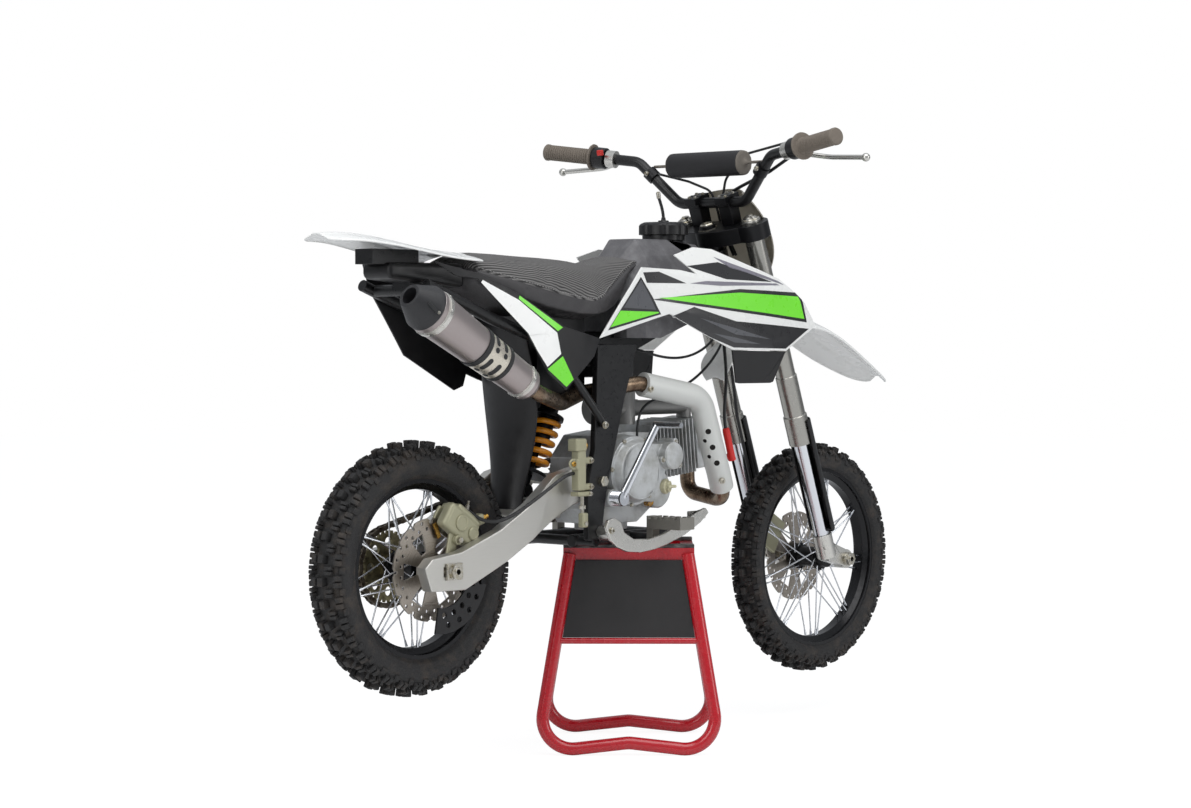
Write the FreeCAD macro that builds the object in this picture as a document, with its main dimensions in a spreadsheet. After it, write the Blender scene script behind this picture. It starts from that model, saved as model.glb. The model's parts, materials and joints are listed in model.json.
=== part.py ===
"""Small dirt bike held on a red paddock stand, as separate named pieces.

+X is forward, +Y is the rider's left and +Z is up.  The origin is on the floor, midway along and
across the whole of the bike and its stand.
"""
import FreeCAD, Part
import math
import os
import Sketcher
from FreeCAD import Placement, Rotation, Vector

os.makedirs("parts", exist_ok=True)
doc = FreeCAD.newDocument("dirt_bike")
sheet = doc.addObject("Spreadsheet::Sheet", "Sizes")

SIZES = {
    # Where the main points of the bike stand
    "pivot_above_rail": 115.5,
    "swingarm_reach": 394.0,
    "pivot_rise": 149.0,
    "head_reach": 448.0,
    "head_rise": 500.0,
    "rake_angle": 20.0,
    "fork_length": 771.0,
    "fork_offset": 36.0,
    "axle_lead": 47.0,
    "fork_spread": 86.0,
    "engine_ahead": 98.0,
    "engine_rise": 16.0,
    "running_gap": 0.05,
    "seat_gap": 0.3,
    "overrun": 2.0,
    # Rear tyre, rim and hub
    "rear_tyre_radius": 236.0,
    "rear_tyre_width": 84.0,
    "rear_rim_radius": 166.0,
    "rear_rim_width": 56.0,
    "rear_hub_length": 104.0,
    "rear_flange_radius": 33.0,
    "rear_flange_spread": 34.0,
    # Front tyre, rim and hub
    "front_tyre_radius": 244.0,
    "front_tyre_width": 68.0,
    "front_rim_radius": 190.0,
    "front_rim_width": 46.0,
    "front_hub_length": 92.0,
    "front_flange_radius": 28.0,
    "front_flange_spread": 29.0,
    # What both wheels share
    "lug_height": 12.0,
    "rim_lip": 5.0,
    "rim_depth": 17.0,
    "rim_wall": 3.0,
    "rim_well_width": 22.0,
    "bead_gap": 0.3,
    "bead_width": 5.0,
    "hub_radius": 21.0,
    "hub_flange_thickness": 4.0,
    "spoke_radius": 1.5,
    "spoke_splay": 2.4,
    "spoke_turn": 48.0,
    "spoke_rim_spread": 5.0,
    "nipple_radius": 3.0,
    "nipple_length": 12.0,
    "axle_radius": 8.0,
    "axle_bore_radius": 5.0,
    "nut_radius": 14.0,
    "nut_height": 9.0,
    # Brake discs and sprockets
    "disc_radius": 95.0,
    "disc_thickness": 4.0,
    "disc_ring": 26.0,
    "disc_hole_radius": 3.4,
    "disc_hole_shift": 6.0,
    "disc_hole_turn": 7.5,
    "disc_wave": 4.0,
    "disc_arm_width": 16.0,
    "disc_carrier_radius": 34.0,
    "front_disc_offset": 46.0,
    "rear_disc_offset": 58.0,
    "chain_pitch": 12.7,
    "chain_height": 10.0,
    "chain_outer_width": 15.0,
    "chain_inner_width": 10.0,
    "chain_line": 63.0,
    "sprocket_thickness": 6.0,
    "sprocket_clearance": 0.5,
    "sprocket_tooth_depth": 6.0,
    "sprocket_hole_radius": 9.0,
    "sprocket_hole_circle": 46.0,
    "output_ahead": 61.0,
    "output_rise": 8.0,
    # Swingarm
    "arm_rear_inner": 84.0,
    "arm_rear_outer": 110.0,
    "arm_front_inner": 74.0,
    "arm_front_outer": 98.0,
    "arm_height": 170.0,
    "arm_tail": 70.0,
    "arm_pivot_radius": 28.0,
    "axle_slot_length": 46.0,
    "brace_back": 118.0,
    "brace_length": 46.0,
    "brace_height": 38.4,
    "brace_drop": 69.0,
    "pivot_tube_radius": 11.0,
    "adjuster_length": 40.0,
    "adjuster_height": 30.0,
    "adjuster_thickness": 5.0,
    # Shock, spring and mudflap
    "shock_foot_back": 95.0,
    "shock_foot_drop": 18.0,
    "shock_lean": 100.0,
    "shock_rise": 222.0,
    "shock_body_radius": 19.0,
    "shock_rod_radius": 7.0,
    "shock_perch_radius": 34.0,
    "shock_perch_thickness": 7.0,
    "shock_eye_radius": 12.0,
    "shock_eye_width": 26.0,
    "spring_radius": 27.0,
    "spring_wire_radius": 5.5,
    "spring_length": 112.0,
    "spring_turns": 5.0,
    "flap_gap": 8.0,
    "flap_foot_drop": 50.0,
    "flap_height": 365.0,
    "flap_half_width": 68.0,
    "flap_curve": 36.0,
    "flap_thickness": 4.0,
    # Main frame and subframe
    "post_height": 372.0,
    "post_length": 145.0,
    "post_outer": 116.0,
    "post_thickness": 14.0,
    "spar_depth": 62.0,
    "spar_half_width": 40.0,
    "spar_wall": 5.0,
    "head_tube_radius": 29.0,
    "head_bore_radius": 20.0,
    "head_tube_length": 128.0,
    "head_tube_top": 50.0,
    "cradle_radius": 12.5,
    "cradle_half_width": 62.0,
    "cross_radius": 10.0,
    "cradle_ahead": 262.0,
    "subframe_radius": 11.0,
    "subframe_half_width": 84.0,
    "subframe_length": 452.0,
    "subframe_rise": 142.0,
    "strut_radius": 8.0,
    "strut_half_width": 124.0,
    "strut_foot_rise": 107.0,
    "strut_length": 140.0,
    "strut_rise": 190.0,
    # Seat, tank and plastics
    "seat_length": 549.0,
    "seat_height": 174.0,
    "seat_half_width": 112.0,
    "seat_back": 298.0,
    "seat_rise": 273.0,
    "tank_length": 262.0,
    "tank_height": 196.0,
    "tank_half_width": 104.0,
    "tank_ahead": 118.0,
    "tank_rise": 273.0,
    "cap_radius": 50.0,
    "cap_height": 22.0,
    "cap_ahead": 311.0,
    "hose_radius": 3.5,
    "tail_box_length": 116.0,
    "tail_box_width": 46.0,
    "tail_box_height": 28.0,
    "tail_box_rise": 74.5,
    "shroud_length": 586.0,
    "shroud_height": 266.0,
    "shroud_back": 10.0,
    "shroud_drop_rise": 248.0,
    "shroud_inner": 123.0,
    "shroud_flare": 60.0,
    "plastic_wall": 4.0,
    "wing_height": 66.0,
    "stud_radius": 6.0,
    "shroud_stud_ahead": 222.0,
    "shroud_stud_rise": 45.0,
    "plate_stud_back": 156.0,
    "plate_stud_rise": 276.0,
    "plate_length": 446.0,
    "plate_height": 262.0,
    "plate_back": 424.0,
    "plate_rise": 152.0,
    "plate_inner": 98.0,
    "plate_flare": 20.0,
    "tail_length": 346.0,
    "tail_half_width": 88.0,
    "tail_rise": 436.0,
    "tail_front_back": 282.0,
    "tail_climb": 26.0,
    "tail_crown": 10.0,
    # Engine
    "case_length": 190.0,
    "case_height": 178.0,
    "case_half_width": 68.0,
    "cover_radius": 71.0,
    "cover_depth": 62.0,
    "cover_boss_radius": 27.0,
    "cover_boss_ahead": 108.0,
    "cover_boss_rise": 26.0,
    "generator_radius": 54.0,
    "generator_ahead": 62.0,
    "generator_depth": 46.0,
    "barrel_start": 112.0,
    "barrel_length": 128.0,
    "barrel_radius": 36.0,
    "barrel_tilt": 6.0,
    "fin_width": 112.0,
    "fin_height": 108.0,
    "fin_thickness": 3.0,
    "fin_pitch": 11.0,
    "rocker_length": 84.0,
    "rocker_width": 104.0,
    "rocker_height": 100.0,
    "carb_rise": 118.0,
    "carb_ahead": 96.0,
    "carb_radius": 21.0,
    "carb_height": 92.0,
    "intake_radius": 15.0,
    "kick_shaft_back": 66.0,
    "kick_shaft_drop": 50.0,
    "kick_shaft_radius": 9.0,
    "kick_reach": 141.0,
    "kick_lean": 62.0,
    "kick_peg": 62.0,
    "gear_shaft_back": 84.0,
    "gear_shaft_drop": 62.0,
    "gear_lever_length": 132.0,
    # Exhaust
    "header_radius": 15.0,
    "shield_radius": 24.0,
    "shield_wall": 2.2,
    "shield_ring": 5.0,
    "pipe_side": 124.0,
    "pipe_post_side": 84.0,
    "muffler_front_radius": 31.0,
    "muffler_rear_radius": 43.0,
    "muffler_length": 300.0,
    "muffler_rise_angle": 28.4,
    "muffler_front_back": 229.0,
    "muffler_front_rise": 183.0,
    "muffler_side": 146.0,
    "tip_length": 52.0,
    "tip_radius": 22.0,
    "tip_bore": 16.0,
    # Foot controls and rear brake
    "peg_ahead": 136.0,
    "peg_drop": 84.0,
    "peg_length": 96.0,
    "peg_width": 42.0,
    "peg_height": 24.0,
    "peg_start": 118.0,
    "pedal_length": 300.0,
    "pedal_height": 90.0,
    "pedal_side": 156.0,
    "pedal_thickness": 8.0,
    "pedal_pivot_back": 4.0,
    "pedal_pivot_drop": 98.0,
    "master_length": 104.0,
    "master_depth": 30.0,
    "master_width": 24.0,
    "master_back": 69.6,
    "master_drop": 26.0,
    "rear_caliper_turn": 36.0,
    "front_caliper_turn": 150.0,
    "caliper_length": 74.0,
    "caliper_height": 52.0,
    "caliper_inboard": 17.0,
    "caliper_outboard": 30.0,
    # Fork, clamps and bars, measured along and across the steering axis
    "clamp_thickness": 33.0,
    "clamp_top_drop": 5.0,
    "lower_clamp_drop": 176.0,
    "clamp_boss_radius": 35.0,
    "clamp_stem_radius": 30.0,
    "fork_tube_radius": 20.5,
    "fork_step_radius": 22.5,
    "fork_collar_radius": 25.0,
    "fork_step_drop": 338.0,
    "fork_collar_drop": 425.0,
    "fork_tube_drop": 488.0,
    "fork_cap_height": 9.0,
    "slider_radius": 16.5,
    "slider_drop": 722.0,
    "lug_half_width": 13.0,
    "lug_boss_radius": 20.0,
    "guard_radius": 30.0,
    "guard_wall": 3.0,
    "guard_top_drop": 440.0,
    "guard_drop": 716.0,
    "bar_radius": 11.0,
    "bar_ahead": 32.0,
    "bar_rise": 41.0,
    "bar_clamp_spread": 40.0,
    "bar_clamp_radius": 17.0,
    "bar_clamp_width": 30.0,
    "bar_low_half": 88.0,
    "bar_high_half": 177.0,
    "bar_half": 385.0,
    "bar_climb": 89.0,
    "bar_end_climb": 26.0,
    "bar_sweep": 86.0,
    "bar_bend": 36.0,
    "pad_length": 197.0,
    "pad_radius": 27.5,
    "pad_rise": 78.0,
    "grip_length": 112.0,
    "grip_radius": 16.0,
    "grip_flange_radius": 27.0,
    "grip_flange": 5.0,
    "lever_length": 168.0,
    "lever_radius": 5.0,
    "perch_length": 19.0,
    "perch_radius": 18.0,
    "switch_length": 28.0,
    "switch_radius": 22.0,
    "cable_radius": 2.6,
    "cable_ahead": 66.0,
    "cable_gap": 7.0,
    "cable_bend": 26.0,
    "brake_hose_radius": 3.4,
    "mask_height": 185.0,
    "mask_half_width": 104.0,
    "mask_crown": 34.0,
    "mask_ahead": 98.0,
    "mask_foot": 102.0,
    "fender_length": 560.0,
    "fender_half_width": 82.0,
    "fender_crown": 18.0,
    "fender_drop": 212.0,
    # Paddock stand
    "stand_height": 404.0,
    "stand_ahead": 184.0,
    "stand_side": 20.0,
    "stand_turn": 48.2,
    "stand_top_length": 255.0,
    "stand_top_width": 218.0,
    "stand_foot_length": 381.0,
    "stand_foot_width": 325.0,
    "stand_tube_radius": 12.5,
    "stand_bend": 58.0,
    "stand_dip": 20.0,
    "stand_rail_height": 23.0,
    "stand_rail_width": 25.0,
    "stand_pad_height": 7.0,
    "stand_board_height": 150.0,
    "stand_board_thickness": 5.0,
    "stand_thin_rail_radius": 6.0,
}
for number, (alias, value) in enumerate(SIZES.items(), start=1):
    sheet.set("A%d" % number, alias)
    sheet.set("B%d" % number, str(value))
    sheet.setAlias("B%d" % number, alias)
doc.recompute()


class SheetReader:
    """Reads a named size from the sheet."""

    def __getattr__(self, alias):
        return float(sheet.get(alias))


S = SheetReader()
NODES = {}


def keep(piece, label):
    """Register a finished sub-part under the name of its file."""
    piece.Label = label
    doc.recompute()
    NODES[label] = piece
    return piece


def feature(label, shape, placement=None):
    """A sub-part whose form is worked out by the functions below."""
    piece = doc.addObject("Part::Feature", label)
    piece.Shape = shape
    if placement is not None:
        piece.Placement = placement
    return keep(piece, label)


def fused(shapes):
    """One solid, or one set of touching solids, from several."""
    whole = shapes[0].fuse(shapes[1:])
    merged = whole.removeSplitter()
    return merged if merged.isValid() else whole


def both_sides(shape):
    """The shape with its mirror image across the bike's middle plane."""
    return Part.makeCompound([shape, shape.mirror(Vector(), Vector(0, 1, 0))])


def rod(start, end, radius):
    """A round bar between two points."""
    way = end - start
    return Part.makeCylinder(radius, way.Length, start, way)


def cone(start, end, start_radius, end_radius):
    """A round taper between two points."""
    way = end - start
    return Part.makeCone(start_radius, end_radius, way.Length, start, way)


def block(low, high):
    """A box between two opposite corners."""
    span = high - low
    return Part.makeBox(span.x, span.y, span.z, low)


def plate(corners, push):
    """A flat outline pushed through a thickness."""
    return Part.Face(Part.makePolygon(corners + corners[:1])).extrude(push)


def side_view(corner, length, height, shares):
    """Points of a side view, as shares of a length and a height."""
    return [corner + Vector(length * along, 0, height * up) for along, up in shares]


def bent_path(points, bend):
    """Straight runs joined by tangent arcs, each arc as large as its runs allow up to the bend."""
    edges = []
    start = points[0]
    for before, corner, after in zip(points, points[1:], points[2:]):
        back, ahead = before - corner, after - corner
        turn = math.pi - back.getAngle(ahead)
        reach = bend * math.tan(turn / 2)
        reach = min(reach, 0.48 * min(back.Length, ahead.Length))
        radius = reach / math.tan(turn / 2)
        back.normalize()
        ahead.normalize()
        enter, leave = corner + back * reach, corner + ahead * reach
        middle = back + ahead
        middle.normalize()
        centre = corner + middle * (radius / math.cos(turn / 2))
        halfway = centre - middle * radius
        edges.append(Part.LineSegment(start, enter).toShape())
        edges.append(Part.Arc(enter, halfway, leave).toShape())
        start = leave
    edges.append(Part.LineSegment(start, points[-1]).toShape())
    return Part.Wire(edges)


def bent_tube(points, radius, bend, bore=0):
    """A bar or tube bent along a route."""
    path = bent_path(points, bend)
    way = points[1] - points[0]

    def swept(size):
        ring = Part.Wire(Part.makeCircle(size, points[0], way))
        return path.makePipeShell([ring], True, False)

    return swept(radius).cut(swept(bore)) if bore else swept(radius)


def arch_section(centre, half_width, crown, wall, up, side=Vector(0, 1, 0)):
    """The closed outline across a thin arched shell."""
    low = centre - up * wall
    edge = side * half_width
    sag = up * crown
    top = Part.Arc(centre - edge - sag, centre, centre + edge - sag).toShape()
    under = Part.Arc(low + edge - sag, low, low - edge - sag).toShape()
    right = Part.LineSegment(centre + edge - sag, low + edge - sag).toShape()
    left = Part.LineSegment(low - edge - sag, centre - edge - sag).toShape()
    return Part.Wire([top, right, under, left])


def body_section(centre, half_low, half_high, low, high):
    """The closed outline across a padded or moulded body, rounded over its top."""
    rise = high - low
    corners = [(-half_low, low), (-half_low, low + rise * 0.35), (-half_high, low + rise * 0.82),
               (-half_high * 0.55, high), (half_high * 0.55, high), (half_high, low + rise * 0.82),
               (half_low, low + rise * 0.35), (half_low, low)]
    points = [Vector(centre.x, centre.y + y, centre.z + z) for y, z in corners]
    return Part.makePolygon(points + points[:1])


def origin_plane(body, role):
    return next(item for item in body.Origin.OriginFeatures if item.Role == role)


def outline_sketch(body, name, plane, corners):
    """A closed outline, each corner held at two distances that read the sheet."""
    sketch = body.newObject("Sketcher::SketchObject", name)
    sketch.AttachmentSupport = [(origin_plane(body, plane), "")]
    sketch.MapMode = "FlatFace"
    texts = [[text.replace("$", "Sizes.") for text in corner] for corner in corners]
    places = [Vector(*[float(sketch.evalExpression(text)) for text in pair], 0) for pair in texts]
    count = len(places)
    for index in range(count):
        sketch.addGeometry(Part.LineSegment(places[index], places[(index + 1) % count]))
    for index in range(count):
        sketch.addConstraint(Sketcher.Constraint("Coincident", index, 2, (index + 1) % count, 1))
    for index, pair in enumerate(texts):
        for kind, text, value in zip(("DistanceX", "DistanceY"), pair, places[index]):
            held = sketch.addConstraint(Sketcher.Constraint(kind, -1, 1, index, 1, value))
            sketch.setExpression("Constraints[%d]" % held, text)
    return sketch


def turned_body(name, corners, placement):
    """A piece turned on a lathe: an outline of radius and height spun about its own Z axis."""
    body = doc.addObject("PartDesign::Body", name)
    sketch = outline_sketch(body, name + "_outline", "XZ_Plane", corners)
    spin = body.newObject("PartDesign::Revolution", name + "_spin")
    spin.Profile = sketch
    spin.ReferenceAxis = (sketch, ["V_Axis"])
    spin.Angle = 360
    body.Placement = placement
    return body


def round_sketch(body, name, plane, radius, ahead="0", aside="0"):
    """A circle whose radius and place read the sheet."""
    sketch = body.newObject("Sketcher::SketchObject", name)
    sketch.AttachmentSupport = [(origin_plane(body, plane), "")]
    sketch.MapMode = "FlatFace"
    radius, ahead, aside = [text.replace("$", "Sizes.") for text in (radius, ahead, aside)]
    centre = Vector(float(sketch.evalExpression(ahead)), float(sketch.evalExpression(aside)), 0)
    sketch.addGeometry(Part.Circle(centre, Vector(0, 0, 1), float(sketch.evalExpression(radius))))
    for kind, text, arguments in (("Radius", radius, (0,)), ("DistanceX", ahead, (-1, 1, 0, 3)),
                                  ("DistanceY", aside, (-1, 1, 0, 3))):
        value = float(sketch.evalExpression(text))
        held = sketch.addConstraint(Sketcher.Constraint(kind, *arguments, value))
        sketch.setExpression("Constraints[%d]" % held, text)
    return sketch


def pad(body, sketch, length, symmetric=True):
    """Push a sketch out to a length that reads the sheet."""
    push = body.newObject("PartDesign::Pad", sketch.Name + "_pad")
    push.Profile = sketch
    push.setExpression("Length", length.replace("$", "Sizes."))
    push.Midplane = symmetric
    return push


def ring_of_pockets(body, sketch, count):
    """Cut a sketch right through and repeat the cut round the body's Z axis."""
    hole = body.newObject("PartDesign::Pocket", sketch.Name + "_hole")
    hole.Profile = sketch
    hole.Type = 1
    hole.Midplane = True
    pattern = body.newObject("PartDesign::PolarPattern", sketch.Name + "_ring")
    pattern.Originals = [hole]
    pattern.Axis = (body.Origin.OriginFeatures[2], [""])
    pattern.Angle = 360
    pattern.Occurrences = count
    body.Tip = pattern
    return pattern


# Main points
length_behind = S.swingarm_reach + S.head_reach
rake = math.radians(S.rake_angle)
ALONG = Vector(math.sin(rake), 0, -math.cos(rake))
ACROSS = Vector(math.cos(rake), 0, math.sin(rake))
SIDE = Vector(0, 1, 0)
UP = Vector(0, 0, 1)
FORWARD = Vector(1, 0, 0)
wheelbase = length_behind + S.fork_length * ALONG.x + (S.fork_offset + S.axle_lead) * ACROSS.x
rear_axle_x = -(wheelbase + S.front_tyre_radius - S.rear_tyre_radius) / 2
pivot_height = S.stand_height + S.cradle_radius + S.pivot_above_rail
REAR_AXLE = Vector(rear_axle_x, 0, pivot_height - S.pivot_rise)
PIVOT = REAR_AXLE + Vector(S.swingarm_reach, 0, S.pivot_rise)
HEAD = PIVOT + Vector(S.head_reach, 0, S.head_rise)
FRONT_AXLE = HEAD + ALONG * S.fork_length + ACROSS * (S.fork_offset + S.axle_lead)
ENGINE = PIVOT + Vector(S.engine_ahead, 0, S.engine_rise)
TO_SIDE = Rotation(FORWARD, -90)
FORK_TURN = Rotation(SIDE, -S.rake_angle)


def in_fork(ahead, side, drop):
    """A point given ahead of, beside and down along the steering axis."""
    return HEAD + ACROSS * ahead + SIDE * side + ALONG * drop


# Wheels
def knobbly_tyre(axle, radius, width, rim_radius, rim_width, pitches):
    """A tyre as a closed skin of flat faces, with its rows of lugs raised from it.

    Each pitch has four columns: a row of three lugs, a groove, a row of two long lugs that reach
    over the shoulders, and another groove.
    """
    half = width / 2
    base = radius - S.lug_height
    tyre_height = base - rim_radius
    columns = 4 * pitches
    lug_share = 0.38
    seat_radius = rim_radius - S.rim_lip
    edge_scale = 1 / math.cos(math.pi / (2 * pitches))
    ground = [(base - tyre_height * 0.22, half * 0.92), (base - tyre_height * 0.06, half * 0.66),
              (base, half * 0.24)]
    raised = [(radius - tyre_height * 0.20, half), (radius - tyre_height * 0.06, half * 0.66),
              (radius, half * 0.24)]
    ground += [(r, -y) for r, y in reversed(ground)]
    raised += [(r, -y) for r, y in reversed(raised)]
    wall = (rim_radius + tyre_height * 0.34, half * 0.95)
    bead_top = (rim_radius * edge_scale + S.bead_gap, rim_width / 2 - S.rim_wall - S.bead_gap)
    bead_inner = (seat_radius * edge_scale + S.bead_gap, bead_top[1])
    bead_toe = (bead_inner[0], bead_inner[1] - S.bead_width)
    lining = (base - tyre_height * 0.30, half * 0.70)
    half_ring = [wall, bead_top, bead_inner, bead_toe, lining]
    turns = []
    for pitch in range(pitches):
        for share in (0, lug_share, 0.5, 0.5 + lug_share):
            turns.append(2 * math.pi * (pitch + share) / pitches)

    def place(profile_point, column):
        r, y = profile_point
        turn = turns[column % columns]
        return Vector(axle.x + r * math.cos(turn), y, axle.z + r * math.sin(turn))

    lug_rows = {0: (0, 2, 4), 2: (0, 1, 3, 4)}
    faces = []

    def add(*points):
        faces.append(Part.Face(Part.makePolygon(list(points) + [points[0]])))

    for column in range(columns):
        after = column + 1
        rows = lug_rows.get(column % 4, ())
        for row in range(5):
            height = raised if row in rows else ground
            add(place(height[row], column), place(height[row + 1], column),
                place(height[row + 1], after), place(height[row], after))
            if row not in rows:
                continue
            for station, beside in ((row, row - 1), (row + 1, row + 1)):
                if beside not in rows:
                    add(place(ground[station], column), place(raised[station], column),
                        place(raised[station], after), place(ground[station], after))
            for edge in (column, after):
                add(place(ground[row], edge), place(raised[row], edge),
                    place(raised[row + 1], edge), place(ground[row + 1], edge))
    for column in range(0, columns, 2):
        middle, after = column + 1, column + 2
        for side, station in ((1, ground[0]), (-1, ground[-1])):
            ring = [(r, y * side) for r, y in half_ring]
            low_a, low_b = place(ring[0], column), place(ring[0], after)
            add(place(station, column), place(station, middle), low_a)
            add(low_a, place(station, middle), low_b)
            add(place(station, middle), place(station, after), low_b)
            for first, second in zip(ring, ring[1:]):
                add(place(first, column), place(first, after), place(second, after), place(second, column))
        other = (lining[0], -lining[1])
        add(place(lining, column), place(lining, after), place(other, after), place(other, column))
    shell = Part.makeShell(faces)
    shell.sewShape()
    solid = Part.makeSolid(shell)
    return solid if solid.Volume > 0 else solid.reversed()


def rim_corners(wheel):
    """Half outlines of a drop-centre rim, as texts that read the sheet."""
    lip = "$%s_rim_radius" % wheel
    edge = "$%s_rim_width / 2" % wheel
    seat = lip + " - $rim_lip"
    well = lip + " - $rim_depth"
    return [(lip, edge), (lip, edge + " - $rim_wall"), (seat, edge + " - $rim_wall"),
            (seat, "$rim_well_width / 2 + $rim_wall"), (well, "$rim_well_width / 2"),
            (well, "-$rim_well_width / 2"), (seat, "-$rim_well_width / 2 - $rim_wall"),
            (seat, "-%s + $rim_wall" % edge), (lip, "-%s + $rim_wall" % edge), (lip, "-" + edge),
            (seat + " - $rim_wall", "-" + edge),
            (seat + " - $rim_wall", "-$rim_well_width / 2 - 2 * $rim_wall"),
            (well + " - $rim_wall", "-$rim_well_width / 2"), (well + " - $rim_wall", "$rim_well_width / 2"),
            (seat + " - $rim_wall", "$rim_well_width / 2 + 2 * $rim_wall"), (seat + " - $rim_wall", edge)]


def hub_corners(wheel):
    """Half outlines of a hub with two spoke flanges and a bore that turns on the axle."""
    end = "$%s_hub_length / 2" % wheel
    flange = "$%s_flange_radius" % wheel
    out = "$%s_flange_spread" % wheel
    bore = "$axle_radius + $running_gap"
    core = "$hub_radius"
    inward = out + " - $hub_flange_thickness"
    return [(bore, end), (core, end), (core, out), (flange, out), (flange, inward), (core, inward),
            (core, "-%s + $hub_flange_thickness" % out), (flange, "-%s + $hub_flange_thickness" % out),
            (flange, "-" + out), (core, "-" + out), (core, "-" + end), (bore, "-" + end)]


def laced_spokes(axle, flange_radius, flange_spread, rim_radius):
    """Thirty-six crossed spokes with their nipples."""
    inner_radius = rim_radius - S.rim_depth - S.rim_wall - S.seat_gap
    per_side = 18
    solids = []
    for side in (1, -1):
        for index in range(per_side):
            leads = 1 if index % 2 else -1
            hub_turn = 2 * math.pi * (index + (0.25 if side < 0 else 0)) / per_side
            rim_turn = hub_turn + leads * math.radians(S.spoke_turn)
            outer = index % 2
            flange_side = flange_spread - S.hub_flange_thickness / 2
            stand_off = S.hub_flange_thickness * (0.8 if outer else 0.5) + S.spoke_radius + S.seat_gap
            hub_y = side * (flange_side + (stand_off if outer else -stand_off))
            rim_y = side * (S.spoke_rim_spread + (S.spoke_splay if outer else -S.spoke_splay))
            hub_r = flange_radius - S.hub_flange_thickness
            start = axle + Vector(hub_r * math.cos(hub_turn), hub_y, hub_r * math.sin(hub_turn))
            end = axle + Vector(inner_radius * math.cos(rim_turn), rim_y, inner_radius * math.sin(rim_turn))
            way = end - start
            way.normalize()
            wire = rod(start, end - way * S.nipple_length, S.spoke_radius)
            nipple_end = end - way * (S.nipple_radius * 0.32)
            nipple = cone(end - way * (S.nipple_length + S.overrun), nipple_end,
                          S.spoke_radius + S.seat_gap, S.nipple_radius)
            solids.append(wire.fuse(nipple))
    return Part.makeCompound(solids)


def brake_disc(label, axle, side):
    """A wavy disc with two staggered rings of holes, carried by six arms."""
    body = doc.addObject("PartDesign::Body", label)
    blank = round_sketch(body, label + "_blank", "XY_Plane", "$disc_radius")
    pad(body, blank, "$disc_thickness")
    bore = round_sketch(body, label + "_bore", "XY_Plane", "$hub_radius + $seat_gap")
    ring_of_pockets(body, bore, 1)
    outer = round_sketch(body, label + "_outer_hole", "XY_Plane", "$disc_hole_radius",
                         "$disc_radius - $disc_ring / 2 + $disc_hole_shift")
    ring_of_pockets(body, outer, 24)
    inner_ring = "($disc_radius - $disc_ring / 2 - $disc_hole_shift)"
    inner = round_sketch(body, label + "_inner_hole", "XY_Plane", "$disc_hole_radius",
                         inner_ring + " * cos($disc_hole_turn)", inner_ring + " * sin($disc_hole_turn)")
    ring_of_pockets(body, inner, 24)
    notch = round_sketch(body, label + "_notch", "XY_Plane", "$disc_wave * 3",
                         "$disc_radius + $disc_wave * 2")
    ring_of_pockets(body, notch, 12)
    window = outline_sketch(body, label + "_window", "XY_Plane", [
        ("$disc_carrier_radius", "-$disc_arm_width * 0.45"),
        ("$disc_radius - $disc_ring", "-$disc_arm_width"),
        ("$disc_radius - $disc_ring", "$disc_arm_width"),
        ("$disc_carrier_radius", "$disc_arm_width * 0.45")])
    ring_of_pockets(body, window, 6)
    body.Placement = Placement(axle + SIDE * side, TO_SIDE)
    return keep(body, label)


rear_wheel_turn = Placement(REAR_AXLE, TO_SIDE)
front_wheel_turn = Placement(FRONT_AXLE, TO_SIDE)
feature("rear_tyre", knobbly_tyre(REAR_AXLE, S.rear_tyre_radius, S.rear_tyre_width,
                                  S.rear_rim_radius, S.rear_rim_width, 17))
feature("front_tyre", knobbly_tyre(FRONT_AXLE, S.front_tyre_radius, S.front_tyre_width,
                                   S.front_rim_radius, S.front_rim_width, 18))
keep(turned_body("rear_rim", rim_corners("rear"), rear_wheel_turn), "rear_rim")
keep(turned_body("front_rim", rim_corners("front"), front_wheel_turn), "front_rim")
keep(turned_body("rear_hub", hub_corners("rear"), rear_wheel_turn), "rear_hub")
keep(turned_body("front_hub", hub_corners("front"), front_wheel_turn), "front_hub")
feature("rear_spokes", laced_spokes(REAR_AXLE, S.rear_flange_radius, S.rear_flange_spread,
                                    S.rear_rim_radius))
feature("front_spokes", laced_spokes(FRONT_AXLE, S.front_flange_radius, S.front_flange_spread,
                                     S.front_rim_radius))
brake_disc("rear_disc", REAR_AXLE, -S.rear_disc_offset + S.hub_flange_thickness * 2)
brake_disc("front_disc", FRONT_AXLE, S.front_disc_offset - S.hub_flange_thickness)


# Final drive
rear_teeth, front_teeth = 36, 14
rear_pitch_radius = S.chain_pitch / (2 * math.sin(math.pi / rear_teeth))
front_pitch_radius = S.chain_pitch / (2 * math.sin(math.pi / front_teeth))
OUTPUT = PIVOT + Vector(S.output_ahead, 0, S.output_rise)


def toothed_wheel(centre, teeth, outer_radius, side, bore, hole_circle=0, holes=0):
    """A flat sprocket with pointed teeth and a ring of lightening holes."""
    corners = []
    for tooth in range(teeth):
        for share, r in ((0.0, outer_radius), (0.22, outer_radius),
                         (0.42, outer_radius - S.sprocket_tooth_depth),
                         (0.80, outer_radius - S.sprocket_tooth_depth)):
            turn = 2 * math.pi * (tooth + share) / teeth
            corners.append(centre + Vector(r * math.cos(turn), 0, r * math.sin(turn)))
    half = S.sprocket_thickness / 2
    blank = plate([corner + SIDE * (side - half) for corner in corners], SIDE * (2 * half))
    low = centre + SIDE * (side - half - S.overrun)
    high = centre + SIDE * (side + half + S.overrun)
    cuts = [rod(low, high, bore)] if bore else []
    for hole in range(holes):
        turn = 2 * math.pi * hole / holes
        shift = Vector(hole_circle * math.cos(turn), 0, hole_circle * math.sin(turn))
        cuts.append(rod(low + shift, high + shift, S.sprocket_hole_radius))
    return blank.cut(cuts) if cuts else blank


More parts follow.
